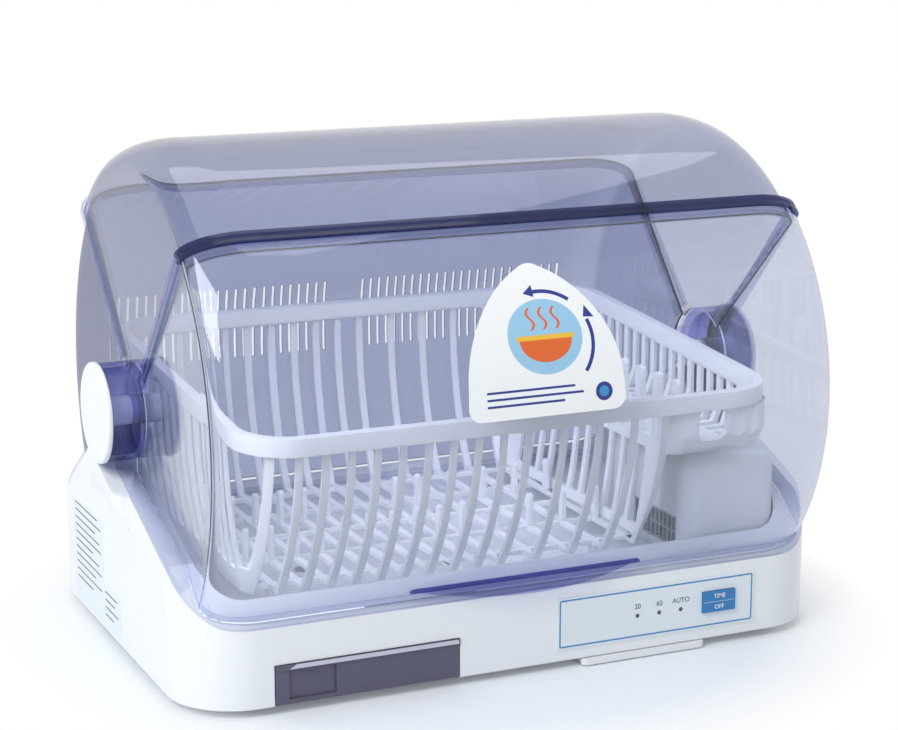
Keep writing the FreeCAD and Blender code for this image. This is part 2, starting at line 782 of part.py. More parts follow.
node(shaped("FrontLid", front_lid()), "front_lid")
node(shaped("UpperLid", upper_lid()), "upper_lid")
node(shaped("RearCover", rear_cover()), "rear_cover")


# Pivot caps: a white disc with a pin that both lids turn on

def pivot_cap(side):
    tag = "Left" if side < 0 else "Right"
    face = HUB_REACH + " + sizes.seat_gap"
    start = PIN_INNER if side > 0 else "-(%s)" % face
    pin = rod("Pin" + tag, X_AXIS, start, "sizes.pivot_back", PIVOT_Z, "sizes.pin_radius",
              "%s - %s" % (face, PIN_INNER))
    start = face if side > 0 else "-(%s + sizes.cap_thick)" % face
    disc = rod("Disc" + tag, X_AXIS, start, "sizes.pivot_back", PIVOT_Z, "sizes.cap_radius",
               "sizes.cap_thick")
    joined = fuse("PinAndDisc" + tag, pin, disc)
    doc.recompute()
    rim = side * (hub_reach + size("seat_gap") + size("cap_thick"))
    edge = edge_numbers(joined, lambda e: abs(e.CenterOfMass.x - rim) < 0.01)
    return rounded("PivotCap" + tag, joined, edge, size("cap_thick") * 0.55)


def edge_numbers(thing, wanted):
    return [number for number, edge in enumerate(thing.Shape.Edges, start=1) if wanted(edge)]


def rounded(name, base, numbers, radius):
    result = doc.addObject("Part::Fillet", name)
    result.Base = base
    result.Edges = [(number, radius, radius) for number in numbers]
    return result


node(pivot_cap(-1), "pivot_cap_left")
node(pivot_cap(1), "pivot_cap_right")


# Bottom plate with the filter's rails below and the tray's guides above

def bottom_plate():
    inset = "2 * (sizes.base_wall + sizes.seat_gap)"
    sheet = slab("PlateSheet", "0", "0", FLOOR, "sizes.base_width - " + inset,
                 "sizes.base_depth - " + inset,
                 "sizes.base_corner - sizes.base_wall - sizes.seat_gap", "sizes.plate_thick")
    additions = []
    wide = "sizes.filter_right - sizes.filter_left"
    rail_y = FRONT + " + 10"
    rail_long = "sizes.filter_deep - 8"
    rail_low = FLOOR + " - sizes.filter_thick - 1.6"
    for tag, outer, lip in (("Left", "sizes.filter_left - 2.4", "sizes.filter_left - 2.4"),
                            ("Right", "sizes.filter_right + 0.4", "sizes.filter_right - 2.6")):
        additions.append(block("RailWall" + tag, outer, rail_y, rail_low, "2", rail_long,
                               "sizes.filter_thick + 1.6"))
        additions.append(block("RailLip" + tag, lip, rail_y, rail_low, "5", rail_long, "1.1"))
    guide_y = FRONT + " + sizes.base_wall + 4"
    top = FLOOR + " + sizes.plate_thick"
    for tag, edge in (("Left", "sizes.tray_left - 2.6"), ("Right", "sizes.tray_right + 0.1")):
        additions.append(block("Guide" + tag, edge, guide_y, top, "2.5",
                               "sizes.tray_deep - sizes.base_wall - 4", "7"))
    additions.append(block("TrayStop", "sizes.tray_left", FRONT + " + sizes.tray_deep + 0.4", top,
                           "sizes.tray_right - sizes.tray_left", "2.5", "7"))
    whole = fuse("PlateAndRails", sheet, *additions)
    openings = []
    rim = "sizes.filter_rim"
    bars = 7
    for turn in range(bars):
        pitch = "(%s - 2 * %s) / %d" % (wide, rim, bars)
        openings.append(block(
            "Intake%d" % turn, "sizes.filter_left + %s + %d * %s + 1" % (rim, turn, pitch),
            FRONT + " + 2 * " + rim, FLOOR + " - 1", pitch + " - 2",
            "sizes.filter_deep - 3 * " + rim, "sizes.plate_thick + 2"))
    for number, (x, y) in enumerate(screw_places()):
        openings.append(rod("PlateHole%d" % number, Z_AXIS, "%g" % x, "%g" % y, FLOOR + " - 1",
                            "sizes.screw_radius + 0.2", "sizes.plate_thick + 2"))
        openings.append(rod("PlateSink%d" % number, Z_AXIS, "%g" % x, "%g" % y, FLOOR + " - 1",
                            "sizes.screw_head + 0.3", "2.5"))
    return cut("BasePlate", whole, fuse("PlateOpenings", *openings))


node(bottom_plate(), "base_plate")


def rubber_feet():
    feet = []
    for sx in (-1, 1):
        for sy in (-1, 1):
            feet.append(rod("Foot%d%d" % (sx, sy), Z_AXIS,
                            "%d * (sizes.base_width / 2 - sizes.foot_inset_across)" % sx,
                            "%d * (sizes.base_depth / 2 - sizes.foot_inset_deep)" % sy, "0",
                            "sizes.foot_radius", FLOOR))
    return fuse("RubberFeet", *feet)


node(rubber_feet(), "rubber_feet")


def screws(name, places, head_low, head_high, tip):
    """Screws along Z: the head between two heights, the shank from the head to the tip."""
    solids = []
    for x, y in places:
        head = Part.makeCylinder(size("screw_head"), head_high - head_low, V(x, y, head_low))
        low, high = min(tip, head_low), max(tip, head_high)
        shank = Part.makeCylinder(size("screw_radius"), high - low, V(x, y, low))
        recess = Part.makeBox(3.4, 0.8, 0.8, V(x - 1.7, y - 0.4, head_low if tip > head_high else head_high - 0.8))
        solids.append(head.fuse(shank).cut(recess).removeSplitter())
    return shaped(name, Part.makeCompound(solids))


node(screws("PlateScrews", screw_places(), floor_edge + 0.1, floor_edge + 1.5, plate_top + 12),
     "base_plate_screws")
skirt_top = rim_top + size("rear_skirt_high") - 0.8
node(screws("CoverScrews", rear_cover_screw_places(), skirt_top, skirt_top + 1.6, rim_top - 10),
     "rear_cover_screws")


# Labels

def leaf_outline():
    """The sticker's outline on the lid, seen from the front."""
    half = size("sticker_half_width")
    low = pivot_z + size("lid_radius") * math.sin(math.radians(size("sticker_low_angle")))
    high = pivot_z + size("lid_radius") * math.sin(math.radians(size("sticker_high_angle")))
    tall = high - low
    corner = 9.0
    side_z = low + tall * 0.28
    tip = 7.0
    right_low = V(half - corner, 0, low)
    right_up = V(half, 0, low + corner)
    right_side = V(half - 1.0, 0, side_z)
    right_tip = V(tip, 0, high - 2.0)
    turn = corner * (1 - math.sqrt(0.5))
    edges = [Part.LineSegment(V(-half + corner, 0, low), right_low).toShape()]
    edges.append(Part.Arc(right_low, V(half - turn, 0, low + turn), right_up).toShape())
    bow = V(half * 0.66, 0, low + tall * 0.74)
    edges.append(Part.LineSegment(right_up, right_side).toShape())
    edges.append(Part.Arc(right_side, bow, right_tip).toShape())
    edges.append(Part.Arc(right_tip, V(0, 0, high), V(-tip, 0, high - 2.0)).toShape())
    edges.append(Part.Arc(V(-tip, 0, high - 2.0), V(-bow.x, 0, bow.z), V(-right_side.x, 0, side_z)).toShape())
    edges.append(Part.LineSegment(V(-right_side.x, 0, side_z), V(-half, 0, low + corner)).toShape())
    edges.append(Part.Arc(V(-half, 0, low + corner), V(-half + turn, 0, low + turn),
                          V(-half + corner, 0, low)).toShape())
    return Part.Wire(Part.__sortEdges__(edges))


def sticker():
    radius = size("lid_radius")
    skin = x_rod(radius + size("sticker_thick"), -half_width, half_width).cut(
        x_rod(radius, -half_width, half_width))
    block_of_leaf = Part.Face(leaf_outline()).extrude(V(0, -radius - 60, 0))
    return skin.common(block_of_leaf)


node(shaped("LidSticker", sticker()), "front_lid_sticker")
LABEL_X = "(-sizes.base_width / 2 - sizes.rating_thick)"
label_tall = block("LabelTall", LABEL_X, "sizes.rating_step", FLOOR + " + sizes.rating_low",
                   "sizes.rating_thick", "sizes.rating_back - sizes.rating_step",
                   "sizes.rating_high - sizes.rating_low")
label_short = block("LabelShort", LABEL_X, "sizes.rating_front", FLOOR + " + sizes.rating_low",
                    "sizes.rating_thick", "sizes.rating_step - sizes.rating_front",
                    "sizes.rating_step_high - sizes.rating_low")
node(fuse("RatingLabel", label_tall, label_short), "rating_label")


# Control panel

def control_label():
    plate = block("PanelPlate", "sizes.panel_left", FRONT + " - sizes.panel_thick",
                  FLOOR + " + sizes.panel_low", "sizes.panel_right - sizes.panel_left",
                  "sizes.panel_thick", "sizes.panel_high - sizes.panel_low")
    holes = [block("PanelButtonHole", "sizes.button_centre - sizes.button_wide / 2",
                   FRONT + " - 2", FLOOR + " + sizes.button_rise - sizes.button_high / 2",
                   "sizes.button_wide", "4", "sizes.button_high")]
    for turn in range(3):
        holes.append(rod("PanelLampHole%d" % turn, V(0, 1, 0),
                         "sizes.lamp_first + %d * sizes.lamp_pitch" % turn, FRONT + " - 2",
                         FLOOR + " + sizes.lamp_rise", "sizes.lamp_radius + 0.1", "4"))
    return cut("ControlLabel", plate, fuse("PanelHoles", *holes))


node(control_label(), "control_label")


def time_button():
    play = "sizes.button_play"
    cap = block("ButtonCap", "sizes.button_centre - sizes.button_wide / 2 + " + play,
                FRONT + " - sizes.panel_thick - sizes.button_proud",
                FLOOR + " + sizes.button_rise - sizes.button_high / 2 + " + play,
                "sizes.button_wide - 2 * " + play,
                "sizes.panel_thick + sizes.button_proud + sizes.base_wall + 0.1",
                "sizes.button_high - 2 * " + play)
    collar = block("ButtonCollar", "sizes.button_centre - sizes.button_wide / 2 - 1",
                   FRONT + " + sizes.base_wall + 0.1",
                   FLOOR + " + sizes.button_rise - sizes.button_high / 2 - 1",
                   "sizes.button_wide + 2", "1", "sizes.button_high + 2")
    return fuse("TimeButton", cap, collar)


node(time_button(), "time_button")

BOARD_Y = FRONT + " + sizes.board_back"
board_plate = block("BoardPlate", "sizes.panel_left + 3", BOARD_Y, FLOOR + " + sizes.panel_low - 1",
                    "sizes.panel_right - sizes.panel_left - 1", "sizes.board_thick",
                    "sizes.panel_high - sizes.panel_low - 2")
board_holes = [rod("BoardHole%d" % number, V(0, 1, 0), "%g" % x, BOARD_Y + " - 1", "%g" % z,
                   "sizes.screw_radius", "5") for number, (x, z) in enumerate(board_screw_places())]
node(cut("ControlBoard", board_plate, fuse("BoardHoles", *board_holes)), "control_board")

switch_top = BOARD_Y + " - (sizes.board_back - sizes.base_wall - 1.2 - sizes.button_travel)"
node(block("TactSwitch", "sizes.button_centre - 3", switch_top, FLOOR + " + sizes.button_rise - 3", "6",
           "sizes.board_back - sizes.base_wall - 1.2 - sizes.button_travel", "6"), "tact_switch")

lamps = [rod("Lamp%d" % turn, V(0, 1, 0), "sizes.lamp_first + %d * sizes.lamp_pitch" % turn,
             FRONT + " - sizes.panel_thick", FLOOR + " + sizes.lamp_rise", "sizes.lamp_radius",
             "sizes.board_back + sizes.panel_thick") for turn in range(3)]
node(fuse("IndicatorLamps", *lamps), "indicator_lamps")

board_back_face = BOARD_Y + " + sizes.board_thick"
relay = block("Relay", "sizes.panel_left + 40", board_back_face, FLOOR + " + sizes.panel_low + 8", "19",
              "15", "15")
dropper = block("Transformer", "sizes.panel_left + 72", board_back_face, FLOOR + " + sizes.panel_low + 4",
                "30", "22", "25")
chip = block("Chip", "sizes.panel_left + 112", board_back_face, FLOOR + " + sizes.panel_low + 14", "18",
             "4", "8")
node(fuse("BoardComponents", relay, dropper, chip), "board_components")


def board_screws():
    solids = []
    for x, z in board_screw_places():
        back = -half_depth + size("board_back") + size("board_thick")
        head = Part.makeCylinder(size("screw_head") * 0.8, 1.4, V(x, back, z), V(0, 1, 0))
        shank = Part.makeCylinder(size("screw_radius") * 0.8, 5, V(x, back - 5, z), V(0, 1, 0))
        solids.append(head.fuse(shank))
    return Part.makeCompound(solids)


node(shaped("BoardScrews", board_screws()), "board_screws")


# Drip tray

TRAY_LOW = "(sizes.foot_drop + sizes.plate_thick + 0.3)"


def tray_body():
    play = "sizes.tray_play"
    skin = "sizes.tray_wall"
    front = FRONT + " + sizes.tray_front_thick"
    wide = "sizes.tray_right - sizes.tray_left - 2 * " + play
    deep = "sizes.tray_deep - sizes.tray_front_thick"
    high = "sizes.tray_high - sizes.plate_thick - 0.9"
    shell = block("TrayShell", "sizes.tray_left + " + play, front, TRAY_LOW, wide, deep, high)
    room = block("TrayRoom", "sizes.tray_left + %s + %s" % (play, skin), front + " + " + skin,
                 TRAY_LOW + " + " + skin, "%s - 2 * %s" % (wide, skin), "%s - 2 * %s" % (deep, skin),
                 "sizes.tray_high")
    return cut("DripTray", shell, room)


node(tray_body(), "drip_tray")


def tray_front():
    low = FLOOR + " + 0.4"
    plate = block("TrayPlate", "sizes.tray_left + 0.6", FRONT, low,
                  "sizes.tray_right - sizes.tray_left - 1.2", "sizes.tray_front_thick",
                  "sizes.tray_high - 0.8")
    pull = block("FingerPull", "sizes.tray_left + 10", FRONT + " - 1", low + " + 3",
                 "sizes.tray_window_wide", "sizes.tray_front_thick", "sizes.tray_window_high")
    lip = block("TrayLip", "sizes.tray_left + 0.6", FRONT + " - 1.2", FLOOR + " + sizes.tray_high - 4",
                "sizes.tray_right - sizes.tray_left - 1.2", "1.3", "3.6")
    return fuse("TrayFront", cut("TrayPlatePull", plate, pull), lip)


node(tray_front(), "drip_tray_front")


# Dust filter under the front edge

FILTER_LOW = "(sizes.foot_drop - sizes.filter_thick - 0.3)"


def filter_frame():
    wide = "sizes.filter_right - sizes.filter_left"
    rim = "sizes.filter_rim"
    plate = block("FilterPlate", "sizes.filter_left", FRONT + " + 2", FILTER_LOW, wide,
                  "sizes.filter_deep", "sizes.filter_thick")
    window = block("FilterWindow", "sizes.filter_left + " + rim, FRONT + " + 2 + " + rim,
                   FILTER_LOW + " - 1", "%s - 2 * %s" % (wide, rim), "sizes.filter_deep - 2 * " + rim,
                   "sizes.filter_thick + 2")
    tongue = slab("FilterTongue", "(sizes.filter_left + sizes.filter_right) / 2", FRONT + " + 1",
                  FLOOR + " - 5", wide, "2 * sizes.filter_tongue", "sizes.filter_tongue * 0.9", "4.4")
    return fuse("FilterFrame", cut("FilterRing", plate, window), tongue)


node(filter_frame(), "filter_frame")
node(block("FilterMesh", "sizes.filter_left + sizes.filter_rim", FRONT + " + 2 + sizes.filter_rim",
           FILTER_LOW + " + 0.6", "sizes.filter_right - sizes.filter_left - 2 * sizes.filter_rim",
           "sizes.filter_deep - 2 * sizes.filter_rim", "sizes.filter_mesh_thick"), "filter_mesh")


# Fan heater

def rounded_box(x0, x1, y0, y1, z0, z1, corner, top_round):
    box = Part.makeBox(x1 - x0, y1 - y0, z1 - z0, V(x0, y0, z0))
    upright = [edge for edge in box.Edges if abs(edge.tangentAt(edge.FirstParameter).z) > 0.99]
    box = box.makeFillet(corner, upright)
    if top_round > 0:
        top = [edge for edge in box.Edges if abs(edge.CenterOfMass.z - z1) < 0.01]
        box = box.makeFillet(top_round, top)
    return box


def fan_cover():
    skin = size("cover_wall")
    x0, x1 = size("cover_left"), size("cover_right")
    y0, y1 = size("cover_front"), size("cover_back")
    top = floor_edge + size("cover_high")
    corner, top_round = size("cover_corner"), size("cover_top_round")
    outer = rounded_box(x0, x1, y0, y1, deck_top, top, corner, top_round)
    inner = rounded_box(x0 + skin, x1 - skin, y0 + skin, y1 - skin, deck_top - 20, top - skin,
                        corner - skin, top_round - skin)
    mouth = Part.makeBox(corner, size("grille_back") - size("grille_front"),
                         size("grille_high") - size("grille_low"),
                         V(x0 - 5, size("grille_front"), floor_edge + size("grille_low")))
    tabs = []
    holes = [mouth]
    for x, y in cover_screw_places():
        tabs.append(Part.makeCylinder(6.0, 3.0, V(x, y, deck_top)))
        holes.append(Part.makeCylinder(size("screw_radius") + 0.2, 5, V(x, y, deck_top - 1)))
    return outer.fuse(tabs).cut([inner] + holes).removeSplitter()


node(shaped("FanCover", fan_cover()), "fan_cover")


def outlet_grille():
    """An egg-crate grille in the cover's mouth: two rows of upright openings."""
    wide = size("grille_back") - size("grille_front") - 0.4
    high = size("grille_high") - size("grille_low") - 0.4
    low = floor_edge + size("grille_low") + 0.2
    front = size("grille_front") + 0.2
    plate = Part.makeBox(size("grille_thick"), wide, high, V(size("cover_left") + 0.4, front, low))
    bar = size("grille_bar")
    columns = 10
    step = (wide - bar) / columns
    openings = []
    for column in range(columns):
        for row in range(2):
            openings.append(Part.makeBox(10, step - bar, (high - 3 * bar) / 2, V(
                size("cover_left") - 4, front + bar + column * step,
                low + bar + row * ((high - 3 * bar) / 2 + bar))))
    return plate.cut(openings)


node(shaped("OutletGrille", outlet_grille()), "outlet_grille")

fan_x = size("fan_across")
fan_y = size("fan_back")
casing_low = floor_edge + size("casing_low")
casing_high = floor_edge + size("casing_high")
heater_left = size("cover_left") + size("cover_wall") + 0.8


def fan_casing():
    skin = size("casing_wall")
    front = size("grille_front")
    back = size("grille_back")

    def mass(inset, low, high):
        drum = Part.makeCylinder(size("casing_radius") - inset, high - low, V(fan_x, fan_y, low))
        start = heater_left - 5 if inset else heater_left
        mouth = Part.makeBox(fan_x - start, back - front - 2 * inset, high - low,
                             V(start, front + inset, low))
        elbow = Part.makeBox(size("casing_radius") - inset, fan_y - front - inset, high - low,
                             V(fan_x, front + inset, low))
        sweep = Part.makeCylinder(size("casing_radius") - inset, high - low,
                                  V(fan_x, front + size("casing_radius"), low))
        return drum.fuse([mouth, elbow.common(sweep.fuse(Part.makeBox(
            size("casing_radius") - inset, fan_y - front - size("casing_radius"), high - low,
            V(fan_x, front + size("casing_radius"), low))))])

    shell = mass(0, casing_low, casing_high).cut(mass(skin, casing_low + skin, casing_high - skin))
    inlet = Part.makeCylinder(size("fan_radius") * 0.8, 10, V(fan_x, fan_y, casing_low - 5))
    shaft_hole = Part.makeCylinder(size("shaft_radius") + 2, 10, V(fan_x, fan_y, casing_high - 5))
    legs = []
    for dx, dy in ((-size("casing_radius") + 4, 12.0), (size("casing_radius") - 4, 12.0),
                   (size("casing_radius") - 4, -52.0)):
        legs.append(Part.makeBox(5, 8, casing_low - plate_top + 1, V(fan_x + dx - 2.5, fan_y + dy - 4, plate_top)))
    return shell.fuse(legs).cut([inlet, shaft_hole]).removeSplitter()


node(shaped("FanCasing", fan_casing()), "fan_casing")

FAN_X, FAN_Y = "sizes.fan_across", "sizes.fan_back"
CASING_HIGH = "(sizes.foot_drop + sizes.casing_high)"
motor_can = rod("MotorCan", Z_AXIS, FAN_X, FAN_Y, CASING_HIGH + " + 2", "sizes.motor_radius",
                "sizes.motor_high - 2")
motor_foot = rod("MotorFoot", Z_AXIS, FAN_X, FAN_Y, CASING_HIGH, "sizes.motor_radius + 5", "2")
motor_core = rod("MotorCore", Z_AXIS, FAN_X, FAN_Y, CASING_HIGH + " - 1",
                 "sizes.shaft_radius + sizes.pin_clearance", "sizes.motor_high - 4")
node(cut("FanMotor", fuse("MotorSolid", motor_can, motor_foot), motor_core), "fan_motor")
FAN_LOW = "(sizes.foot_drop + sizes.casing_low + sizes.casing_wall + 3)"
node(rod("FanShaft", Z_AXIS, FAN_X, FAN_Y, FAN_LOW, "sizes.shaft_radius",
         "sizes.casing_high - sizes.casing_low - sizes.casing_wall - 3 + sizes.motor_high - 8"),
     "fan_shaft")


def impeller():
    low = casing_low + size("casing_wall") + 3
    radius = size("fan_radius")
    high = size("fan_high")
    back_plate = Part.makeCylinder(radius, 1.5, V(fan_x, fan_y, low + high - 1.5))
    hub = Part.makeCylinder(size("shaft_radius") + 3, high * 0.6, V(fan_x, fan_y, low + high * 0.4))
    ring = Part.makeCylinder(radius, 1.5, V(fan_x, fan_y, low)).cut(
        Part.makeCylinder(radius - 7, 1.5, V(fan_x, fan_y, low)))
    blades = []
    count = 20
    for turn in range(count):
        blade = Part.makeBox(6.5, 1.0, high - 1, V(radius - 6.8, -0.5, low + 0.5))
        blade.rotate(V(radius - 3.4, 0, 0), Z_AXIS, 28)
        blade.translate(V(fan_x, fan_y, 0))
        blade.rotate(V(fan_x, fan_y, 0), Z_AXIS, 360.0 * turn / count)
        blades.append(blade)
    bore = Part.makeCylinder(size("shaft_radius"), 60, V(fan_x, fan_y, low - 10))
    return back_plate.fuse([hub, ring] + blades).cut(bore).removeSplitter()


node(shaped("Impeller", impeller()), "impeller")

HEATER_X = "(sizes.cover_left + sizes.cover_wall + 2)"
HEATER_Y = "(sizes.grille_front + sizes.casing_wall + 0.2)"
HEATER_LOW = "(sizes.foot_drop + sizes.casing_low + sizes.casing_wall + 0.2)"
HEATER_WIDE = "(sizes.grille_back - sizes.grille_front - 2 * sizes.casing_wall - 0.4)"
HEATER_HIGH = "(sizes.casing_high - sizes.casing_low - 2 * sizes.casing_wall - 0.4)"
frame_solid = block("HeaterFrameSolid", HEATER_X, HEATER_Y, HEATER_LOW, "sizes.heater_thick", HEATER_WIDE,
                    HEATER_HIGH)
frame_room = block("HeaterFrameRoom", HEATER_X + " - 1", HEATER_Y + " + sizes.heater_frame_wall",
                   HEATER_LOW + " + sizes.heater_frame_wall", "sizes.heater_thick + 2",
                   HEATER_WIDE + " - 2 * sizes.heater_frame_wall",
                   HEATER_HIGH + " - 2 * sizes.heater_frame_wall")
node(cut("HeaterFrame", frame_solid, frame_room), "heater_frame")


def heater_element():
    """A warm ceramic core between two rows of thin fins."""
    skin = size("heater_frame_wall") + 0.2
    x = size("cover_left") + size("cover_wall") + 2
    y = size("grille_front") + size("casing_wall") + 0.2 + skin
    low = casing_low + size("casing_wall") + 0.2 + skin
    wide = size("grille_back") - size("grille_front") - 2 * size("casing_wall") - 0.4 - 2 * skin
    high = casing_high - casing_low - 2 * size("casing_wall") - 0.4 - 2 * skin
    thick = size("heater_thick")
    bars = [Part.makeBox(thick, wide, 2.0, V(x, y, low + high * share - 1.0)) for share in (0.06, 0.5, 0.94)]
    count = 22
    fins = [Part.makeBox(thick - 1, 0.7, high * 0.9, V(x + 0.5, y + (turn + 0.5) * wide / count - 0.35,
                                                    low + high * 0.05)) for turn in range(count)]
    return bars[0].fuse(bars[1:] + fins).removeSplitter()


node(shaped("HeaterElement", heater_element()), "heater_element")
node(rod("ThermalCutout", Z_AXIS, "sizes.cover_left + sizes.cover_wall + 12",
         "sizes.grille_front + 16", CASING_HIGH, "7", "6"), "thermal_cutout")

deck_screw_top = deck_top + 3.0
node(screws("FanCoverScrews", cover_screw_places(), deck_screw_top, deck_screw_top + 1.6, deck_under - 4),
     "fan_cover_screws")


# Mains inlet at the back

GLAND_X = "sizes.gland_across"
GLAND_Z = "(sizes.foot_drop + sizes.gland_rise)"
GLAND_BACK = "(sizes.base_depth / 2)"
gland_parts = [
    rod("GlandCollar", V(0, 1, 0), GLAND_X, GLAND_BACK, GLAND_Z, "sizes.gland_radius + 3", "3"),
    rod("GlandBarrel", V(0, 1, 0), GLAND_X, GLAND_BACK + " - sizes.base_wall - 4", GLAND_Z,
        "sizes.gland_radius", "sizes.base_wall + 4"),
    rod("GlandNut", V(0, 1, 0), GLAND_X, GLAND_BACK + " - sizes.base_wall - 3.5", GLAND_Z,
        "sizes.gland_radius + 2.5", "3.5"),
]
gland_bore = rod("GlandBore", V(0, 1, 0), GLAND_X, GLAND_BACK + " - 20", GLAND_Z,
                 "sizes.gland_radius - 2.5", "40")
node(cut("CordGland", fuse("GlandSolid", *gland_parts), gland_bore), "cord_gland")
node(block("TerminalBlock", GLAND_X + " - 15", "sizes.base_depth / 2 - 50",
           "sizes.foot_drop + sizes.plate_thick", "30", "14", "13"), "terminal_block")


# Basket: a deep tub for plates with a shallow shelf at its right end

def rack_rim_height(y):
    """Top of the sloping rim at a depth."""
    share = (y - size("rack_front")) / (size("rack_back") - size("rack_front"))
    return floor_edge + size("rack_front_top") + share * (size("rack_back_top") - size("rack_front_top"))


def under_rack_rim(drop):
    """Everything below the rim's top plane lowered by drop."""
    y0, y1 = size("rack_front") - 40, size("rack_back") + 40
    face = Part.Face(Part.makePolygon([
        V(0, y0, 0), V(0, y1, 0), V(0, y1, rack_rim_height(y1) - drop),
        V(0, y0, rack_rim_height(y0) - drop), V(0, y0, 0)]))
    solid = face.extrude(V(4 * half_width, 0, 0))
    solid.translate(V(-2 * half_width, 0, 0))
    return solid


def rounded_wire(x0, x1, y0, y1, radius, z):
    points = [V(x1, y0, z), V(x1, y1, z), V(x0, y1, z), V(x0, y0, z)]
    start = V((x0 + x1) / 2, y0, z)
    loop = [start] + points + [start]
    return Part.Wire(path_edges(loop, [radius] * 4))


def tub(inset):
    """The deep part's outside, or its inside with an inset: narrow at the floor, full at the rim."""
    half = size("rack_half_width") - 3.5
    right = size("rack_deep_right")
    front, back = size("rack_front") + 4, size("rack_back") - 4
    stations = [
        (size("rack_floor_rise") + inset, 12.0, 9.0, 42.0, 28.0, 14.0),
        (size("rack_waist_rise"), 6.0, 4.0, 22.0, 14.0, 6.0),
        (size("rack_back_top") + 12, 0.0, 0.0, 0.0, 0.0, 0.0),
    ]
    wires = []
    for rise, left_in, right_in, front_in, back_in, tighter in stations:
        wires.append(rounded_wire(-half + left_in + inset, right - right_in - inset,
                                  front + front_in + inset, back - back_in - inset,
                                  size("rack_corner") - 4 - inset - tighter, floor_edge + rise))
    return Part.makeLoft(wires, True, False)


def shelf(inset):
    half = size("rack_half_width") - 3.5
    low = floor_edge + size("rack_shelf_rise") + inset
    left = size("rack_deep_right") - 16
    front, back = size("rack_front") + 4, size("rack_back") - 4
    radius = 20.0 - inset
    wires = [
        rounded_wire(left + inset, half - 5 - inset, front + 8 + inset, back - 8 - inset, radius - 6, low),
        rounded_wire(left + inset, half - inset, front + inset, back - inset, radius, low + 14),
        rounded_wire(left + inset, half - inset, front + inset, back - inset, radius,
                     floor_edge + size("rack_back_top") + 12),
    ]
    return Part.makeLoft(wires, True, True)


def bar_stations():
    """Across positions of the bars, close on the left and wide on the right."""
    first = size("rack_first_bar")
    close = [first + turn * size("rack_close_pitch") for turn in range(11)]
    last = close[-1]
    wide = [last + (turn + 1) * size("rack_wide_pitch") for turn in range(4)]
    return close + wide


def wall_stations():
    """Depths of the left wall's bars, from the open front corner to the back."""
    pitch = size("rack_close_pitch")
    first = size("rack_left_bar")
    count = int((size("rack_back") - size("rack_corner") - first) / pitch)
    return [first + turn * pitch for turn in range(count + 1)]


def bar_gaps():
    """Boxes between the bars: from the front over the floor to the back, and in both side walls."""
    bar = size("rack_bar")
    front, back = size("rack_front"), size("rack_back")
    half = size("rack_half_width")
    tall = size("rack_back_top")
    gaps = []
    bars = bar_stations()
    for left, right in zip(bars[:-1], bars[1:]):
        gaps.append(Part.makeBox(right - left - bar, back - front + 20, tall,
                                 V(left + bar / 2, front - 10, basket_floor - 5)))
    inner_edge = size("rack_deep_right") - 14
    inner_low = basket_floor + 10
    for near, far in zip(wall_stations()[:-1], wall_stations()[1:]):
        long = far - near - bar
        start = near + bar / 2
        gaps.append(Part.makeBox(60, long, tall, V(-half - 20, start, basket_floor + 16)))
        gaps.append(Part.makeBox(24, long, shelf_floor - inner_low - 6, V(inner_edge, start, inner_low)))
    slot_pitch = size("rack_slot_pitch")
    slot_count = int((back - front - 44) / slot_pitch)
    for turn in range(slot_count):
        gaps.append(Part.makeBox(60, slot_pitch - bar, tall,
                                 V(half - 28, front + 24 + turn * slot_pitch, shelf_floor - 3)))
    corner_low = basket_floor + size("rack_corner_rise")
    gaps.append(Part.makeBox(bars[0] - bar / 2 + half + 20, wall_stations()[0] - bar / 2 - front + 20,
                             tall, V(-half - 20, front - 20, corner_low)))
    return gaps


def shelf_front_cuts():
    """The rounded window in the shelf's front wall and the three upright grooves beside it."""
    left = size("rack_deep_right") + 7
    wide = size("rack_window_wide")
    face = size("rack_front") + 4
    window = Part.makeBox(wide, 24, size("rack_window_high"), V(left, face - 12, shelf_floor + 9))
    along = [edge for edge in window.Edges if abs(edge.tangentAt(edge.FirstParameter).y) > 0.99]
    cuts = [window.makeFillet(size("rack_window_round"), along)]
    radius = size("rack_groove_radius")
    for turn in range(3):
        x = left + wide + radius + 1 + turn * 1.7 * radius
        cuts.append(Part.makeCylinder(radius, 100, V(x, face - radius + size("rack_groove_deep"),
                                                     shelf_floor + 4)))
    return cuts


def basket_walls():
    """The basket's two tubs as one thin shell with its gaps cut, up to the rim's lower face."""
    skin = size("rack_wall")
    below_rim = under_rack_rim(size("rack_rim_high"))
    below_strip = under_rack_rim(size("rack_rim_high") + size("rack_strip_high"))
    body = tub(0).fuse(shelf(0)).cut([tub(skin), shelf(skin)]).common(below_rim)
    cuts = [tool.common(below_strip) for tool in bar_gaps() + shelf_front_cuts()]
    return body.cut(cuts)


def basket_ribs():
    """Flat ribs across the floor that tie its bars together."""
    front, back = size("rack_front"), size("rack_back")
    count = 5
    ribs = []
    for turn in range(count):
        y = front + 62 + turn * (back - front - 110) / (count - 1)
        ribs.append(Part.makeBox(size("rack_deep_right") + size("rack_half_width") - 28, 4.0,
                                 size("rack_wall"), V(18 - size("rack_half_width"), y - 2.0, basket_floor)))
    return ribs


def basket_feet():
    half = size("rack_half_width")
    feet = []
    for x in (-half + 40, size("rack_deep_right") - 40):
        for y in (size("rack_front") + 62, size("rack_back") - 48):
            feet.append(Part.makeBox(12, 8, basket_floor - deck_top - 0.3 + 2,
                                     V(x - 6, y - 4, deck_top + 0.3)))
    return feet


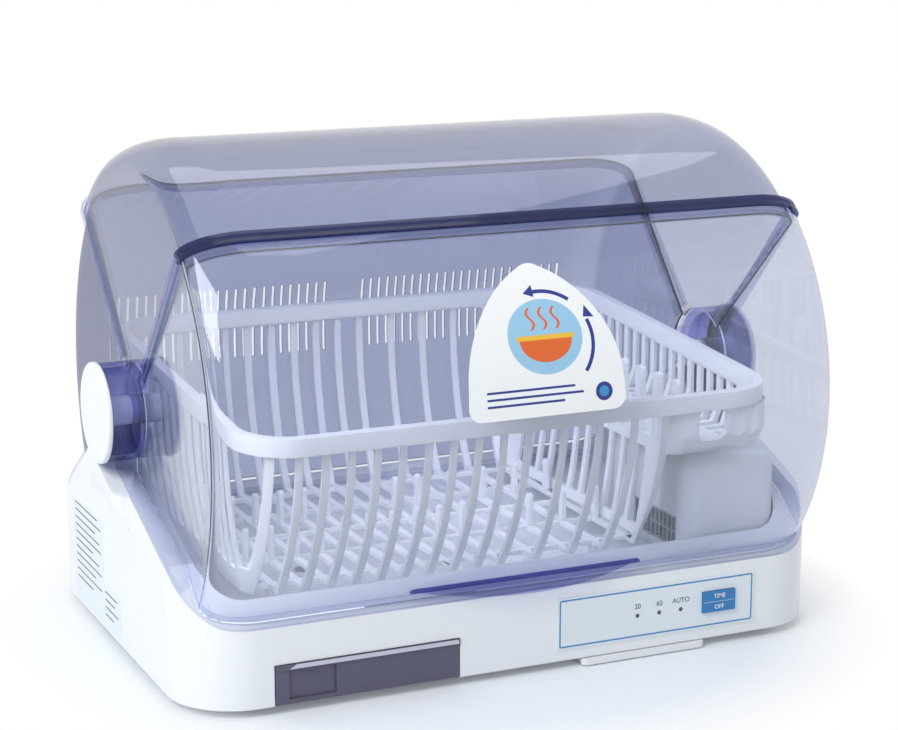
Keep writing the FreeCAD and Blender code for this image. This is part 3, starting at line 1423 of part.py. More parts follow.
def basket_rim():
    half, front, back = size("rack_half_width"), size("rack_front"), size("rack_back")
    wide, corner = size("rack_rim_wide"), size("rack_corner")
    outer = Part.Face(rounded_wire(-half, half, front, back, corner, 0))
    inner = Part.Face(rounded_wire(-half + wide, half - wide, front + wide, back - wide, corner - wide, 0))
    tall = V(0, 0, 260)
    ring = outer.extrude(tall).cut(inner.extrude(tall)).common(under_rack_rim(0))
    return ring.cut(under_rack_rim(size("rack_rim_high")))


def floor_prongs():
    """Two rows of upright prongs that hold plates, one on each bar."""
    solids = []
    tall = size("rack_finger_high")
    low = basket_floor + size("rack_wall")
    for share in (0.36, 0.62):
        y = size("rack_front") + share * (size("rack_back") - size("rack_front"))
        for x in bar_stations()[1:]:
            stem = Part.makeBox(3.2, 6.0, tall, V(x - 1.6, y - 3.0, low))
            cap = Part.makeCylinder(3.0, 3.2, V(x - 1.6, y, low + tall), X_AXIS)
            solids.append(stem.fuse(cap).removeSplitter())
    return Part.makeCompound(solids)


def shelf_prongs():
    """One row of flat round-headed prongs between the deep part and the shelf."""
    wide = size("rack_prong_wide")
    top = floor_edge + size("rack_prong_top")
    low = shelf_floor + size("rack_wall")
    x = size("rack_deep_right") - 3
    pitch = size("rack_prong_pitch")
    count = int((size("rack_back") - size("rack_front") - 60) / pitch)
    solids = []
    for turn in range(count):
        y = size("rack_front") + 24 + turn * pitch
        stem = Part.makeBox(4, wide, top - wide / 2 - low, V(x, y - wide / 2, low))
        head = Part.makeCylinder(wide / 2, 4, V(x, y, top - wide / 2), X_AXIS)
        solids.append(stem.fuse(head).removeSplitter())
    return Part.makeCompound(solids)


basket_floor = floor_edge + size("rack_floor_rise")
shelf_floor = floor_edge + size("rack_shelf_rise")
floor_top = basket_floor + size("rack_wall")
shelf_split = size("rack_deep_right") - 16
wall_split = size("rack_wall_split")
corner_split = size("rack_left_bar") - size("rack_bar") / 2
shelf_underside = shelf_floor - 0.01
first_edge = size("rack_first_bar") - size("rack_bar") / 2
corner_edge = size("rack_corner") - size("rack_half_width")
walls = basket_walls()
# The basket is one moulding as well, written as pieces that meet face to face
BASKET_ZONES = [
    ("basket_front_wall", zone(first_edge, shelf_split, -outside, corner_split, floor_top)),
    ("basket_left_wall", zone(-outside, 0, corner_split, wall_split, floor_top).fuse(
        zone(-outside, first_edge, -outside, corner_split, floor_top))),
    ("basket_back_corner", zone(-outside, corner_edge, wall_split, outside, floor_top)),
    ("basket_back_wall", zone(corner_edge, shelf_split, wall_split, outside, floor_top)),
    ("basket_inner_wall", zone(shelf_split, outside, -outside, outside, floor_top, shelf_underside)),
    ("basket_shelf", zone(shelf_split, outside, -outside, outside, shelf_underside)),
]
floor_shape = walls.common(zone(-outside, outside, -outside, outside, basket_floor - 5, floor_top))
floor_shape = floor_shape.fuse(basket_ribs() + basket_feet()).removeSplitter()
node(shaped("BasketFloor", floor_shape), "basket_floor")
for label, box in BASKET_ZONES:
    node(shaped(label.title().replace("_", ""), walls.common(box)), label)
node(shaped("BasketRim", basket_rim()), "basket_rim")
node(shaped("FloorProngs", floor_prongs()), "basket_floor_prongs")
node(shaped("ShelfProngs", shelf_prongs()), "basket_shelf_prongs")


# Write the pieces

def check_and_write():
    doc.recompute()
    faults = []
    for thing in doc.Objects:
        if "Invalid" in thing.State or "Error" in thing.State:
            faults.append("%s is in state %s" % (thing.Label, thing.State))
    for thing in nodes:
        shape = thing.Shape
        if shape.isNull() or not shape.isValid():
            faults.append("%s has no valid shape" % thing.Label)
    if faults:
        raise RuntimeError("; ".join(faults))
    os.makedirs("parts", exist_ok=True)
    # The frame's origin lies under the middle of the whole part, in front of the base's middle
    back = V(0, size("origin_forward"), 0)
    for thing in nodes:
        thing.Shape.translated(back).exportStep("parts/%s.step" % thing.Label)


check_and_write()
for thing in nodes:
    box = thing.Shape.BoundBox
    print("%-24s solids %2d  volume %9.0f  x %7.1f %7.1f  y %7.1f %7.1f  z %6.1f %6.1f" % (
        thing.Label, len(thing.Shape.Solids), thing.Shape.Volume,
        box.XMin, box.XMax, box.YMin, box.YMax, box.ZMin, box.ZMax))
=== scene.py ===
import json
import math

import bmesh
import bpy
from mathutils import Matrix, Vector
from mathutils.bvhtree import BVHTree


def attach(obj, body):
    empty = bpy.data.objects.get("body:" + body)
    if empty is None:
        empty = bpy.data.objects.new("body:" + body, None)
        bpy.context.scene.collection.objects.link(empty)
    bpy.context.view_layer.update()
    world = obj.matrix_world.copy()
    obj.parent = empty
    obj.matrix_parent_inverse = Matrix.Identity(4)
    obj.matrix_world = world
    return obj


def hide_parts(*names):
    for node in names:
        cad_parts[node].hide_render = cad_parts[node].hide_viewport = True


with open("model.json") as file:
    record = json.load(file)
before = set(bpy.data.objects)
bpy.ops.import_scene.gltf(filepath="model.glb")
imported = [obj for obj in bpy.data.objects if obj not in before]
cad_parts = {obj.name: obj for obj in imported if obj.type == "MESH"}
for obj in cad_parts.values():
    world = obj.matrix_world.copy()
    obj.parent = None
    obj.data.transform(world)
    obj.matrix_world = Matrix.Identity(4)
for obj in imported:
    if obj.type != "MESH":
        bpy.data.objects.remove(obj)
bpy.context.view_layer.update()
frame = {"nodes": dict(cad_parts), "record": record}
NODES = frame["nodes"]
SCENE = bpy.context.scene
MM = 0.001
GRAIN_MM = 0.5

# Countertop dish dryer: a white base, a white basket and a dome of three clear shells on one axis.
# Sizes are in millimetres from the middle of the base, which lies a little behind the frame's origin;
# a piece is brought to the frame in metres when it is made.
MIDDLE = Vector((0, 11, 0))
FEET_HIGH = 6
PIVOT_Y, PIVOT_Z = -8.0, 174.0
HALF_WIDTH, HALF_DEPTH, BASE_CORNER = 240.0, 165.0, 48.0
RIM_TOP = 59.5
SADDLE_RADIUS = 37.0
SEAT_GAP = 0.4
LID_RADIUS, LID_REACH, LID_SKIN, LID_STEP = 187.0, 226.5, 2.0, 3.0
SHOULDER_ACROSS, SHOULDER_DEEP = 40.0, 17.0
HUB_RADIUS, HUB_REACH = 34.0, 249.0
PIN_HOLE = 10.0 + 0.1
FRONT_TOP, UPPER_FRONT, UPPER_BACK, REAR_FRONT = 48.0, 44.0, 134.5, 130.5


def in_frame(point):
    """A point in millimetres from the base's middle, in the frame's metres."""
    return (Vector(point) + MIDDLE) * MM


# Colour and material helpers

def linear(hex_colour, alpha=1.0):
    """An sRGB hex colour as the linear values that shaders take."""
    def channel(byte):
        c = byte / 255
        return c / 12.92 if c <= 0.04045 else ((c + 0.055) / 1.055) ** 2.4
    value = int(hex_colour.lstrip("#"), 16)
    return (channel(value >> 16), channel(value >> 8 & 255), channel(value & 255), alpha)


def add(holder, kind, settings=None, links=None):
    """Adds a node to a material or the world: settings go to its properties or inputs, links to its inputs."""
    tree = holder.node_tree
    made = tree.nodes.new(kind)
    for key, value in (settings or {}).items():
        if isinstance(key, str) and hasattr(made, key) and key not in made.inputs:
            setattr(made, key, value)
        else:
            made.inputs[key].default_value = value
    for key, source in (links or {}).items():
        tree.links.new(source, made.inputs[key])
    return made


def new_material(name):
    material = bpy.data.materials.new(name)
    material.use_nodes = True
    material.node_tree.nodes.clear()
    return material


def finish_surface(material, shader, volume=None):
    out = add(material, "ShaderNodeOutputMaterial", {}, {"Surface": shader})
    if volume is not None:
        material.node_tree.links.new(volume, out.inputs["Volume"])
    return material


def moulded(name, colour, roughness, bump=0.02, mottle=0.02, soft_edge_mm=0.0, **extra):
    """An injection-moulded plastic: an even colour, a faint spark-eroded grain and soft sheen changes."""
    material = new_material(name)
    where = add(material, "ShaderNodeTexCoord")
    grain = add(material, "ShaderNodeTexNoise", {"Scale": 1000 / GRAIN_MM / 6, "Detail": 3.0},
                {"Vector": where.outputs["Object"]})
    cloud = add(material, "ShaderNodeTexNoise", {"Scale": 9.0, "Detail": 2.0},
                {"Vector": where.outputs["Object"]})
    rough = add(material, "ShaderNodeMapRange",
                {"To Min": max(roughness - 0.05, 0.02), "To Max": roughness + 0.05},
                {"Value": cloud.outputs["Fac"]})
    height = add(material, "ShaderNodeBump", {"Strength": bump, "Distance": 0.0002},
                 {"Height": grain.outputs["Fac"]})
    if soft_edge_mm:
        edge = add(material, "ShaderNodeBevel", {"samples": 4, "Radius": soft_edge_mm * MM})
        material.node_tree.links.new(edge.outputs["Normal"], height.inputs["Normal"])
    full = linear(colour)
    tint = add(material, "ShaderNodeMixRGB",
               {"Color1": full, "Color2": tuple(c * (1 - mottle) for c in full[:3]) + (1.0,)},
               {"Fac": cloud.outputs["Fac"]})
    settings = {"IOR": 1.5}
    settings.update(extra)
    shader = add(material, "ShaderNodeBsdfPrincipled", settings,
                 {"Base Color": tint.outputs["Color"], "Roughness": rough.outputs["Result"],
                  "Normal": height.outputs["Normal"]})
    return finish_surface(material, shader.outputs["BSDF"])


def clear_tint(name, absorb, density, roughness, shadow):
    """A clear plastic whose colour deepens with the length of the way through it."""
    material = new_material(name)
    where = add(material, "ShaderNodeTexCoord")
    wave = add(material, "ShaderNodeTexNoise", {"Scale": 9.0, "Detail": 1.0},
               {"Vector": where.outputs["Object"]})
    height = add(material, "ShaderNodeBump", {"Strength": 0.04, "Distance": 0.001},
                 {"Height": wave.outputs["Fac"]})
    shader = add(material, "ShaderNodeBsdfPrincipled",
                 {"Base Color": (1, 1, 1, 1), "Roughness": roughness, "IOR": 1.49,
                  "Transmission Weight": 1.0},
                 {"Normal": height.outputs["Normal"]})
    lit = add(material, "ShaderNodeBsdfTransparent", {"Color": shadow})
    path = add(material, "ShaderNodeLightPath")
    mix = add(material, "ShaderNodeMixShader", {},
              {"Fac": path.outputs["Is Shadow Ray"], 1: shader.outputs["BSDF"], 2: lit.outputs["BSDF"]})
    volume = add(material, "ShaderNodeVolumeAbsorption", {"Color": absorb, "Density": density})
    return finish_surface(material, mix.outputs["Shader"], volume.outputs["Volume"])


def clear_rail(name, face_on, edge_on, roughness):
    """Thick clear rails and ledges: pale where one looks straight through, deep towards their edges."""
    material = new_material(name)
    where = add(material, "ShaderNodeTexCoord")
    wave = add(material, "ShaderNodeTexNoise", {"Scale": 14.0, "Detail": 1.0},
               {"Vector": where.outputs["Object"]})
    height = add(material, "ShaderNodeBump", {"Strength": 0.05, "Distance": 0.001},
                 {"Height": wave.outputs["Fac"]})
    slant = add(material, "ShaderNodeLayerWeight", {"Blend": 0.5}, {"Normal": height.outputs["Normal"]})
    tint = add(material, "ShaderNodeMixRGB", {"Color1": face_on, "Color2": edge_on},
               {"Fac": slant.outputs["Facing"]})
    through = add(material, "ShaderNodeBsdfTransparent", {}, {"Color": tint.outputs["Color"]})
    gloss = add(material, "ShaderNodeBsdfGlossy", {"Roughness": roughness},
                {"Normal": height.outputs["Normal"]})
    share = add(material, "ShaderNodeFresnel", {"IOR": 1.49}, {"Normal": height.outputs["Normal"]})
    face = add(material, "ShaderNodeNewGeometry")
    outside = add(material, "ShaderNodeMath", {"operation": "SUBTRACT", 0: 1.0},
                  {1: face.outputs["Backfacing"]})
    share = add(material, "ShaderNodeMath", {"operation": "MULTIPLY"},
                {0: share.outputs["Fac"], 1: outside.outputs["Value"]})
    mix = add(material, "ShaderNodeMixShader", {},
              {"Fac": share.outputs["Value"], 1: through.outputs["BSDF"], 2: gloss.outputs["BSDF"]})
    return finish_surface(material, mix.outputs["Shader"])


# White ABS of the base and the pivot caps: moulded, near-white and half glossy, with soft edges
white_abs = moulded("white_abs", "#F1F3F6", 0.26, soft_edge_mm=0.9)
# Polypropylene of the basket: softer in sheen and brighter than the base; a little light goes through it
basket_pp = moulded("basket_polypropylene", "#FDFEFE", 0.34, soft_edge_mm=0.7,
                    **{"Subsurface Weight": 0.35, "Subsurface Radius": (1.0, 1.0, 1.0),
                       "Subsurface Scale": 0.006})
# Tinted styrene of the front lid: clear, polished, grey violet, darker where one looks along a wall
front_as = clear_tint("pale_violet_styrene", (0.34, 0.42, 0.65, 1), 165.0, 0.012, (0.985, 0.988, 0.994, 1))
# The shells behind it are of the same styrene; their deeper tint, deepest at the back, is painted shade that
# darkens the dome seen through them
upper_as = clear_tint("violet_styrene", (0.275, 0.32, 0.554, 1), 300.0, 0.015, (0.98, 0.984, 0.992, 1))
rear_as = clear_tint("violet_styrene_deep_painted_shade", (0.275, 0.34, 0.60, 1), 700.0, 0.015, (0.975, 0.98, 0.99, 1))
# The thick double rail along the front lid's top edge: the same styrene, deeper by its thickness
rail_as = clear_rail("violet_styrene_rails", (0.27, 0.30, 0.50, 1), (0.18, 0.21, 0.43, 1), 0.04)
# The slim legs in which that rail runs down the ends, and the rails of the shells behind it
leg_as = clear_rail("violet_styrene_legs", (0.90, 0.92, 0.97, 1), (0.70, 0.73, 0.87, 1), 0.04)
# The feet along the base's edge: thin and pale
foot_as = clear_rail("violet_styrene_feet", (0.96, 0.965, 0.985, 1), (0.76, 0.79, 0.91, 1), 0.05)
# The finger lip, where the violet is fuller, and the deep ridge along its root
lip_as = clear_rail("violet_styrene_lip", (0.80, 0.82, 0.94, 1), (0.40, 0.40, 0.70, 1), 0.04)
ridge_as = clear_rail("deep_violet_ridge", (0.42, 0.43, 0.76, 1), (0.30, 0.30, 0.62, 1), 0.04)
# The outer hubs: violet rings
hub_as = clear_rail("violet_styrene_hubs", (0.86, 0.87, 0.97, 1), (0.50, 0.50, 0.82, 1), 0.04)
# The bosses inside, nearly clear
boss_as = clear_rail("violet_styrene_bosses", (0.97, 0.975, 0.99, 1), (0.82, 0.84, 0.93, 1), 0.06)

# Smoky styrene of the tray's front: nearly opaque, glossy
smoky_as = moulded("smoky_styrene", "#5B586E", 0.14, mottle=0.06)
# The same styrene painted pale along its polished bevel: a painted highlight where the bevel mirrors the light
tray_highlight_as = moulded("smoky_styrene_painted_highlight", "#C9CCDA", 0.12, mottle=0.03)
# Rubber of the feet: matt, with a deeper grain
black_rubber = moulded("black_rubber", "#1A1A1C", 0.7, bump=0.1)
# Polyester film of the labels: smooth, with a satin sheen
label_film = moulded("label_polyester_film", "#E6EEF3", 0.32, bump=0.0, mottle=0.01)
# Paper-backed film of the lid's sticker: white and smooth
sticker_film = moulded("sticker_film", "#F7F9FA", 0.3, bump=0.0, mottle=0.01)
# Printing inks: thin, even and a little glossier than the film
ink_blue = moulded("ink_blue", "#3F8FC4", 0.3, bump=0.0)
ink_navy = moulded("ink_navy", "#23348A", 0.3, bump=0.0)
ink_orange = moulded("ink_orange", "#E4682A", 0.3, bump=0.0)
ink_yellow = moulded("ink_yellow", "#F2C23C", 0.3, bump=0.0)
ink_sky = moulded("ink_sky", "#9CCBE8", 0.3, bump=0.0)
ink_grey = moulded("ink_grey", "#4C525C", 0.35, bump=0.0)
ink_white = moulded("ink_white", "#F4F7FA", 0.3, bump=0.0)
# ABS of the time button: moulded blue
button_blue = moulded("button_blue_abs", "#2E7DBD", 0.3)
# Zinc-plated steel of the screws, the motor's can and the fan's shaft
zinc_steel = moulded("zinc_steel", "#B9BBC0", 0.35, Metallic=1.0)
# Lacquered laminate of the control board
board_green = moulded("board_green", "#1D5F3A", 0.4)
# Black plastic of the impeller, the heater's frame, the gland and the electric parts
dark_abs = moulded("dark_abs", "#232326", 0.45)
# Grey plastic of the fan's casing and the outlet grille
grey_abs = moulded("grey_abs", "#A4A9B4", 0.4)
# Dull dark mesh of the dust filter
foam_mesh = moulded("filter_mesh", "#4A4C50", 0.8)
# Unglazed ceramic of the heating element
ceramic = moulded("ptc_ceramic", "#CFCABC", 0.5)

BY_SLOT = {
    "white_plastic": white_abs,
    "basket_plastic": basket_pp,
    "tinted_clear_plastic": foot_as,
    "smoky_plastic": smoky_as,
    "black_rubber": black_rubber,
    "label_film": label_film,
    "blue_button": button_blue,
    "steel": zinc_steel,
    "circuit_board": board_green,
    "dark_plastic": dark_abs,
    "grey_plastic": grey_abs,
    "filter_foam": foam_mesh,
    "ceramic": ceramic,
}
for part in frame["record"]["subparts"]:
    thing = NODES[part["node"]]
    thing.data.materials.clear()
    thing.data.materials.append(BY_SLOT[part["material_slot"]])


# Mesh helpers

def place(name, mesh, material, body, stands_for=()):
    """Shows a mesh in one material as a piece that rides on a body."""
    mesh.materials.clear()
    mesh.materials.append(material)
    made = bpy.data.objects.new(name, mesh)
    SCENE.collection.objects.link(made)
    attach(made, body)
    if stands_for:
        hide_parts(*stands_for)
    return made


def smooth(mesh, crease):
    """Smooth shading, with edges sharper than crease degrees left sharp."""
    mesh.polygons.foreach_set("use_smooth", [True] * len(mesh.polygons))
    mesh.set_sharp_from_angle(angle=math.radians(crease))


def piece(name, verts, faces, material, body, stands_for=()):
    """A smooth piece from points in millimetres that rides on a body."""
    mesh = bpy.data.meshes.new(name)
    mesh.from_pydata([in_frame(point) for point in verts], [], faces)
    form = bmesh.new()
    form.from_mesh(mesh)
    bmesh.ops.remove_doubles(form, verts=form.verts, dist=1e-6)
    bmesh.ops.recalc_face_normals(form, faces=form.faces)
    form.to_mesh(mesh)
    form.free()
    smooth(mesh, 35)
    return place(name, mesh, material, body, stands_for)


def thick_sheet(outer, inner, open_cells=()):
    """A closed sheet between two grids of points; open cells become holes with walls."""
    columns = len(outer[0])
    count = len(outer) * columns
    faces = []
    edges = set()
    for row in range(len(outer) - 1):
        for column in range(columns - 1):
            if (row, column) in open_cells:
                continue
            first = row * columns + column
            quad = (first, first + columns, first + columns + 1, first + 1)
            faces.append(quad)
            faces.append(tuple(count + corner for corner in reversed(quad)))
            edges.update(zip(quad, quad[1:] + quad[:1]))
    for start, end in edges:
        if (end, start) not in edges:
            faces.append((end, start, count + start, count + end))
    return [point for row in outer + inner for point in row], faces


def loft(rings, closed=False):
    """A skin through rings with the same number of points, with flat ends unless it closes on itself."""
    size = len(rings[0])
    faces = []
    count = len(rings)
    for ring in range(count if closed else count - 1):
        for side in range(size):
            here, there = ring * size, (ring + 1) % count * size
            turn = (side + 1) % size
            faces.append((here + side, here + turn, there + turn, there + side))
    if not closed:
        faces.append(tuple(range(size)))
        faces.append(tuple(range((count - 1) * size, count * size)))
    return [point for ring in rings for point in ring], faces


def rounded_path(points, radii):
    """A line through the points with each inner corner rounded by its radius."""
    steps = 8
    line = [Vector(points[0])]
    for before, corner, after, radius in zip(points, points[1:], points[2:], radii):
        corner = Vector(corner)
        into = (corner - Vector(before)).normalized()
        out = (Vector(after) - corner).normalized()
        turn = into.angle(out)
        centre = corner + (out - into).normalized() * (radius / math.cos(turn / 2))
        start = corner - into * (radius * math.tan(turn / 2)) - centre
        sense = 1 if into.cross(out) > 0 else -1
        for step in range(steps + 1):
            line.append(centre + Matrix.Rotation(sense * turn * step / steps, 2) @ start)
    line.append(Vector(points[-1]))
    return line


# The base's top edge seen from the side, from front to back

def rim_line():
    knee = Vector((-HALF_DEPTH + 43, RIM_TOP + 33))
    centre = Vector((PIVOT_Y, PIVOT_Z))
    toward = knee - centre
    heading = math.atan2(toward.y, toward.x) + math.acos(SADDLE_RADIUS / toward.length)
    end = -math.radians(30)
    saddle = [centre + SADDLE_RADIUS * Vector((math.cos(turn), math.sin(turn)))
              for turn in [heading + (end - heading) * step / 8 for step in range(9)]]
    front = rounded_path([(-HALF_DEPTH - 30, RIM_TOP), (-HALF_DEPTH + 5, RIM_TOP), knee, saddle[0]], [16, 30])
    back = rounded_path([saddle[-1], (HALF_DEPTH - 56, RIM_TOP + 39), (HALF_DEPTH - 10, RIM_TOP),
                         (HALF_DEPTH + 30, RIM_TOP)], [30, 16])
    return front + saddle[1:-1] + back


RIM_LINE = rim_line()


def rim_height(y):
    """Height of the base's edge at a depth."""
    for low, high in zip(RIM_LINE, RIM_LINE[1:]):
        if low.x <= y <= high.x and high.x > low.x:
            return low.y + (high.y - low.y) * (y - low.x) / (high.x - low.x)
    return RIM_TOP


# Dome: shells about the hinge axis. Angles run from straight ahead, over the top, to the back.

def dome_point(x, radius, angle):
    turn = math.radians(angle)
    return Vector((x, PIVOT_Y - radius * math.cos(turn), PIVOT_Z + radius * math.sin(turn)))


def edge_angle(radius, start, step):
    """Angle at which a circle about the axis, followed from start, meets the base's edge."""
    angle = start
    while abs(angle - start) < 140:
        point = dome_point(0, radius, angle)
        if point.z < rim_height(point.y) + SEAT_GAP:
            return angle - step
        angle += step
    return angle


def half_section(offset, thick, core, marks=()):
    """Outer and inner (x, radius) from the side wall at core, over the shoulder, to the middle."""
    reach, radius = LID_REACH + offset, LID_RADIUS + offset
    bend_x, bend_r = reach - SHOULDER_ACROSS, radius - SHOULDER_DEEP
    spans = []
    for step in range(14):
        level = core + (bend_r - core) * step / 14
        spans.append(((reach, level), (reach - thick, level)))
    turns = {90.0 * step / 18 for step in range(18)}
    turns |= {math.degrees(math.acos((mark - bend_x) / SHOULDER_ACROSS)) for mark in marks if mark > bend_x}
    for turn in sorted(turns):
        c, s = math.cos(math.radians(turn)), math.sin(math.radians(turn))
        spans.append(((bend_x + SHOULDER_ACROSS * c, bend_r + SHOULDER_DEEP * s),
                      (bend_x + (SHOULDER_ACROSS - thick) * c, bend_r + (SHOULDER_DEEP - thick) * s)))
    flats = {bend_x * step / 6 for step in range(7)} | {mark for mark in marks if mark < bend_x}
    for x in sorted(flats, reverse=True):
        spans.append(((x, radius), (x, radius - thick)))
    return spans


def full_section(offset, thick, core, marks=()):
    """The half section and its mirror image, from the left wall to the right."""
    right = half_section(offset, thick, core, marks)
    left = [((-outer[0], outer[1]), (-inner[0], inner[1])) for outer, inner in right]
    return left[:-1] + right[::-1]


def dome_shell(section, angles_at, open_cells=()):
    """A shell from its section; angles_at gives the stations along the arc at each radius."""
    outer = [[dome_point(x, radius, angle) for angle in angles_at(radius)] for (x, radius), _ in section]
    inner = [[dome_point(x_in, r_in, angle) for angle in angles_at(radius)]
             for (_, radius), (x_in, r_in) in section]
    return thick_sheet(outer, inner, open_cells)


def edge_rail(section, angle, profile):
    """A moulded rail along a shell's edge; profile is (outwards, along the arc) in millimetres."""
    turn = math.radians(angle)
    along = Vector((0, math.sin(turn), math.cos(turn)))
    middle = dome_point(0, 0.7 * LID_RADIUS, angle)
    rings = []
    points = [dome_point(x, radius, angle) for (x, radius), _ in section]
    for index, spot in enumerate(points):
        before, after = points[max(index - 1, 0)], points[min(index + 1, len(points) - 1)]
        out = (after - before).normalized().cross(along)
        if out.dot(spot - middle) < 0:
            out = -out
        rings.append([spot + out * lift + along * run for lift, run in profile])
    return loft(rings)


def spread(low, high, count):
    """Evenly spaced values from low to high, both included."""
    return [low + (high - low) * step / count for step in range(count + 1)]


def lathe(name, outline, material, body, mirror=False):
    """A ring turned about the hinge axis from a closed outline of (x, radius)."""
    sign = -1 if mirror else 1
    steps = 96
    rings = [[dome_point(sign * x, radius, 360 * step / steps) for x, radius in outline]
             for step in range(steps)]
    verts, faces = loft(rings, closed=True)
    piece(name, verts, faces, material, body)


REAR_FOOT_START = 30.5


def foot_path(front):
    """Stations of a lid's foot along the base's outline, from the right hub to the left hub."""
    inset = 0.5
    side = -1 if front else 1
    corner_x, corner_y = HALF_WIDTH - BASE_CORNER, HALF_DEPTH - BASE_CORNER
    radius = BASE_CORNER - inset
    start = PIVOT_Y - 1 if front else REAR_FOOT_START
    half = []
    for y in spread(start, side * corner_y, 16):
        half.append((Vector((HALF_WIDTH - inset, y)), Vector((-1, 0))))
    for turn in spread(0, 90, 12)[1:]:
        c, s = math.cos(math.radians(turn)), side * math.sin(math.radians(turn))
        half.append((Vector((corner_x + radius * c, side * corner_y + radius * s)), Vector((-c, -s))))
    for x in spread(corner_x, 0, 8)[1:]:
        half.append((Vector((x, side * (HALF_DEPTH - inset))), Vector((0, -side))))
    left = [(Vector((-spot.x, spot.y)), Vector((-inward.x, inward.y))) for spot, inward in half]
    return half[:-1] + left[::-1]


def inside_dome(x, y, z, offset):
    """Whether a point lies within the shell whose outer face is offset from the front lid's."""
    reach, radius = LID_REACH + offset, LID_RADIUS + offset
    past = abs(x) - (reach - SHOULDER_ACROSS)
    if past >= SHOULDER_ACROSS:
        return False
    if past > 0:
        radius += SHOULDER_DEEP * (math.sqrt(1 - (past / SHOULDER_ACROSS) ** 2) - 1)
    return math.hypot(y - PIVOT_Y, z - PIVOT_Z) < radius


DEEPEST_FOOT = 44


def lid_foot(front, offset, high):
    """The band with which a lid stands on the base's edge, from the outline in to the shell."""
    rings = []
    for spot, inward in foot_path(front):
        low = rim_height(spot.y) + SEAT_GAP
        top = rim_height(spot.y) + high
        near = spot.y - PIVOT_Y
        if front and abs(near) < HUB_RADIUS:
            top = min(top, PIVOT_Z - math.sqrt(HUB_RADIUS ** 2 - near ** 2) - 0.2)
        depth = 2.0
        inner = spot + inward * depth
        while depth < DEEPEST_FOOT and not inside_dome(inner.x, inner.y, (low + top) / 2, offset):
            depth += 0.25
            inner = spot + inward * depth
        edge = spot + inward * 0.8
        low_in = rim_height(inner.y) + SEAT_GAP if abs(inward.y) < 0.5 else low
        top_in = low_in + top - low
        rings.append([(spot.x, spot.y, low), (spot.x, spot.y, top - 0.8), (edge.x, edge.y, top),
                      (inner.x, inner.y, top_in), (inner.x, inner.y, low_in)])
    return loft(rings)


def hub_outline():
    """Half section of the front lid's hub: a cup open outwards round the pin, with one groove outside."""
    start = LID_REACH - LID_SKIN
    groove = (LID_REACH + HUB_REACH) / 2
    floor = LID_REACH + LID_SKIN
    rim = HUB_RADIUS - 4
    return [(start, PIN_HOLE), (start, HUB_RADIUS - 0.6), (start + 0.6, HUB_RADIUS),
            (groove - 0.9, HUB_RADIUS), (groove - 0.6, HUB_RADIUS - 1.2), (groove + 0.6, HUB_RADIUS - 1.2),
            (groove + 0.9, HUB_RADIUS), (HUB_REACH - 0.8, HUB_RADIUS), (HUB_REACH, HUB_RADIUS - 0.8),
            (HUB_REACH, rim), (floor + 1, rim), (floor, rim - 1), (floor, PIN_HOLE)]


def finger_lip():
    """The crescent flap at the front lid's foot: it leans out and down, most in its middle."""
    half, proud = 84.0, 11.0
    radius = (half * half + proud * proud) / (2 * proud)
    root = -HALF_DEPTH + 0.5
    top = RIM_TOP + 12.4
    rings = []
    for x in spread(-half, half, 48):
        reach = max(proud - radius + math.sqrt(radius ** 2 - x ** 2), 0.5)
        drop = 8.6 * reach / proud
        rings.append([(x, root + 2, top), (x, root - 0.3, top), (x, root - reach, top - drop),
                      (x, root - reach + 0.3, top - drop - 1.5), (x, root + 0.6, top - 2.2),
                      (x, root + 2, top - 2.2)])
    return loft(rings)


def lip_ridge():
    """The deep violet ridge along the flap's root."""
    root, top = -HALF_DEPTH + 0.5, RIM_TOP + 13.0
    ends = [(-86.0, 1.6), (-84.0, 0.0), (84.0, 0.0), (86.0, 1.6)]
    return loft([[(x, root + 2.2, top - low), (x, root - 0.9, top - low), (x, root - 0.9, top - 3.2),
                  (x, root + 2.2, top - 3.2)] for x, low in ends])


def node_form(label):
    """The mesh of a CAD node where it stands."""
    form = bmesh.new()
    form.from_mesh(NODES[label].data)
    form.transform(NODES[label].matrix_world)
    return form


def moulding(name, labels, material, body):
    """One moulding from the solids that stand for it, without the faces where they meet."""
    touching, opposite = 2e-5, -0.99
    trees = {}
    form = bmesh.new()
    for label in labels:
        one = node_form(label)
        trees[label] = BVHTree.FromBMesh(one)
        one.free()
    for label in labels:
        one = node_form(label)
        hidden = []
        for face in one.faces:
            middle = face.calc_center_median()
            for other in labels:
                if other == label:
                    continue
                _, normal, _, distance = trees[other].find_nearest(middle, touching)
                if distance is not None and normal.dot(face.normal) < opposite:
                    hidden.append(face)
                    break
        bmesh.ops.delete(one, geom=hidden, context="FACES")
        part = bpy.data.meshes.new("part")
        one.to_mesh(part)
        one.free()
        form.from_mesh(part)
        bpy.data.meshes.remove(part)
    bmesh.ops.remove_doubles(form, verts=form.verts, dist=1e-5)
    mesh = bpy.data.meshes.new(name)
    form.to_mesh(mesh)
    form.free()
    smooth(mesh, 25)
    made = place(name, mesh, material, body, labels)
    even = made.modifiers.new("even_faces", "WEIGHTED_NORMAL")
    even.keep_sharp = True


# The housing and the basket are one moulding each, though several solids stand for them
moulding("base_housing", ["base_left_end", "base_right_end", "base_front_wall", "base_rear_wall",
                          "base_inlet_wall", "base_deck", "base_bosses"], white_abs, "base")
moulding("basket_moulding", ["basket_floor", "basket_front_wall", "basket_left_wall", "basket_back_corner",
                             "basket_back_wall", "basket_inner_wall", "basket_shelf", "basket_rim"],
         basket_pp, "basket")

SIDES = (("left", True), ("right", False))


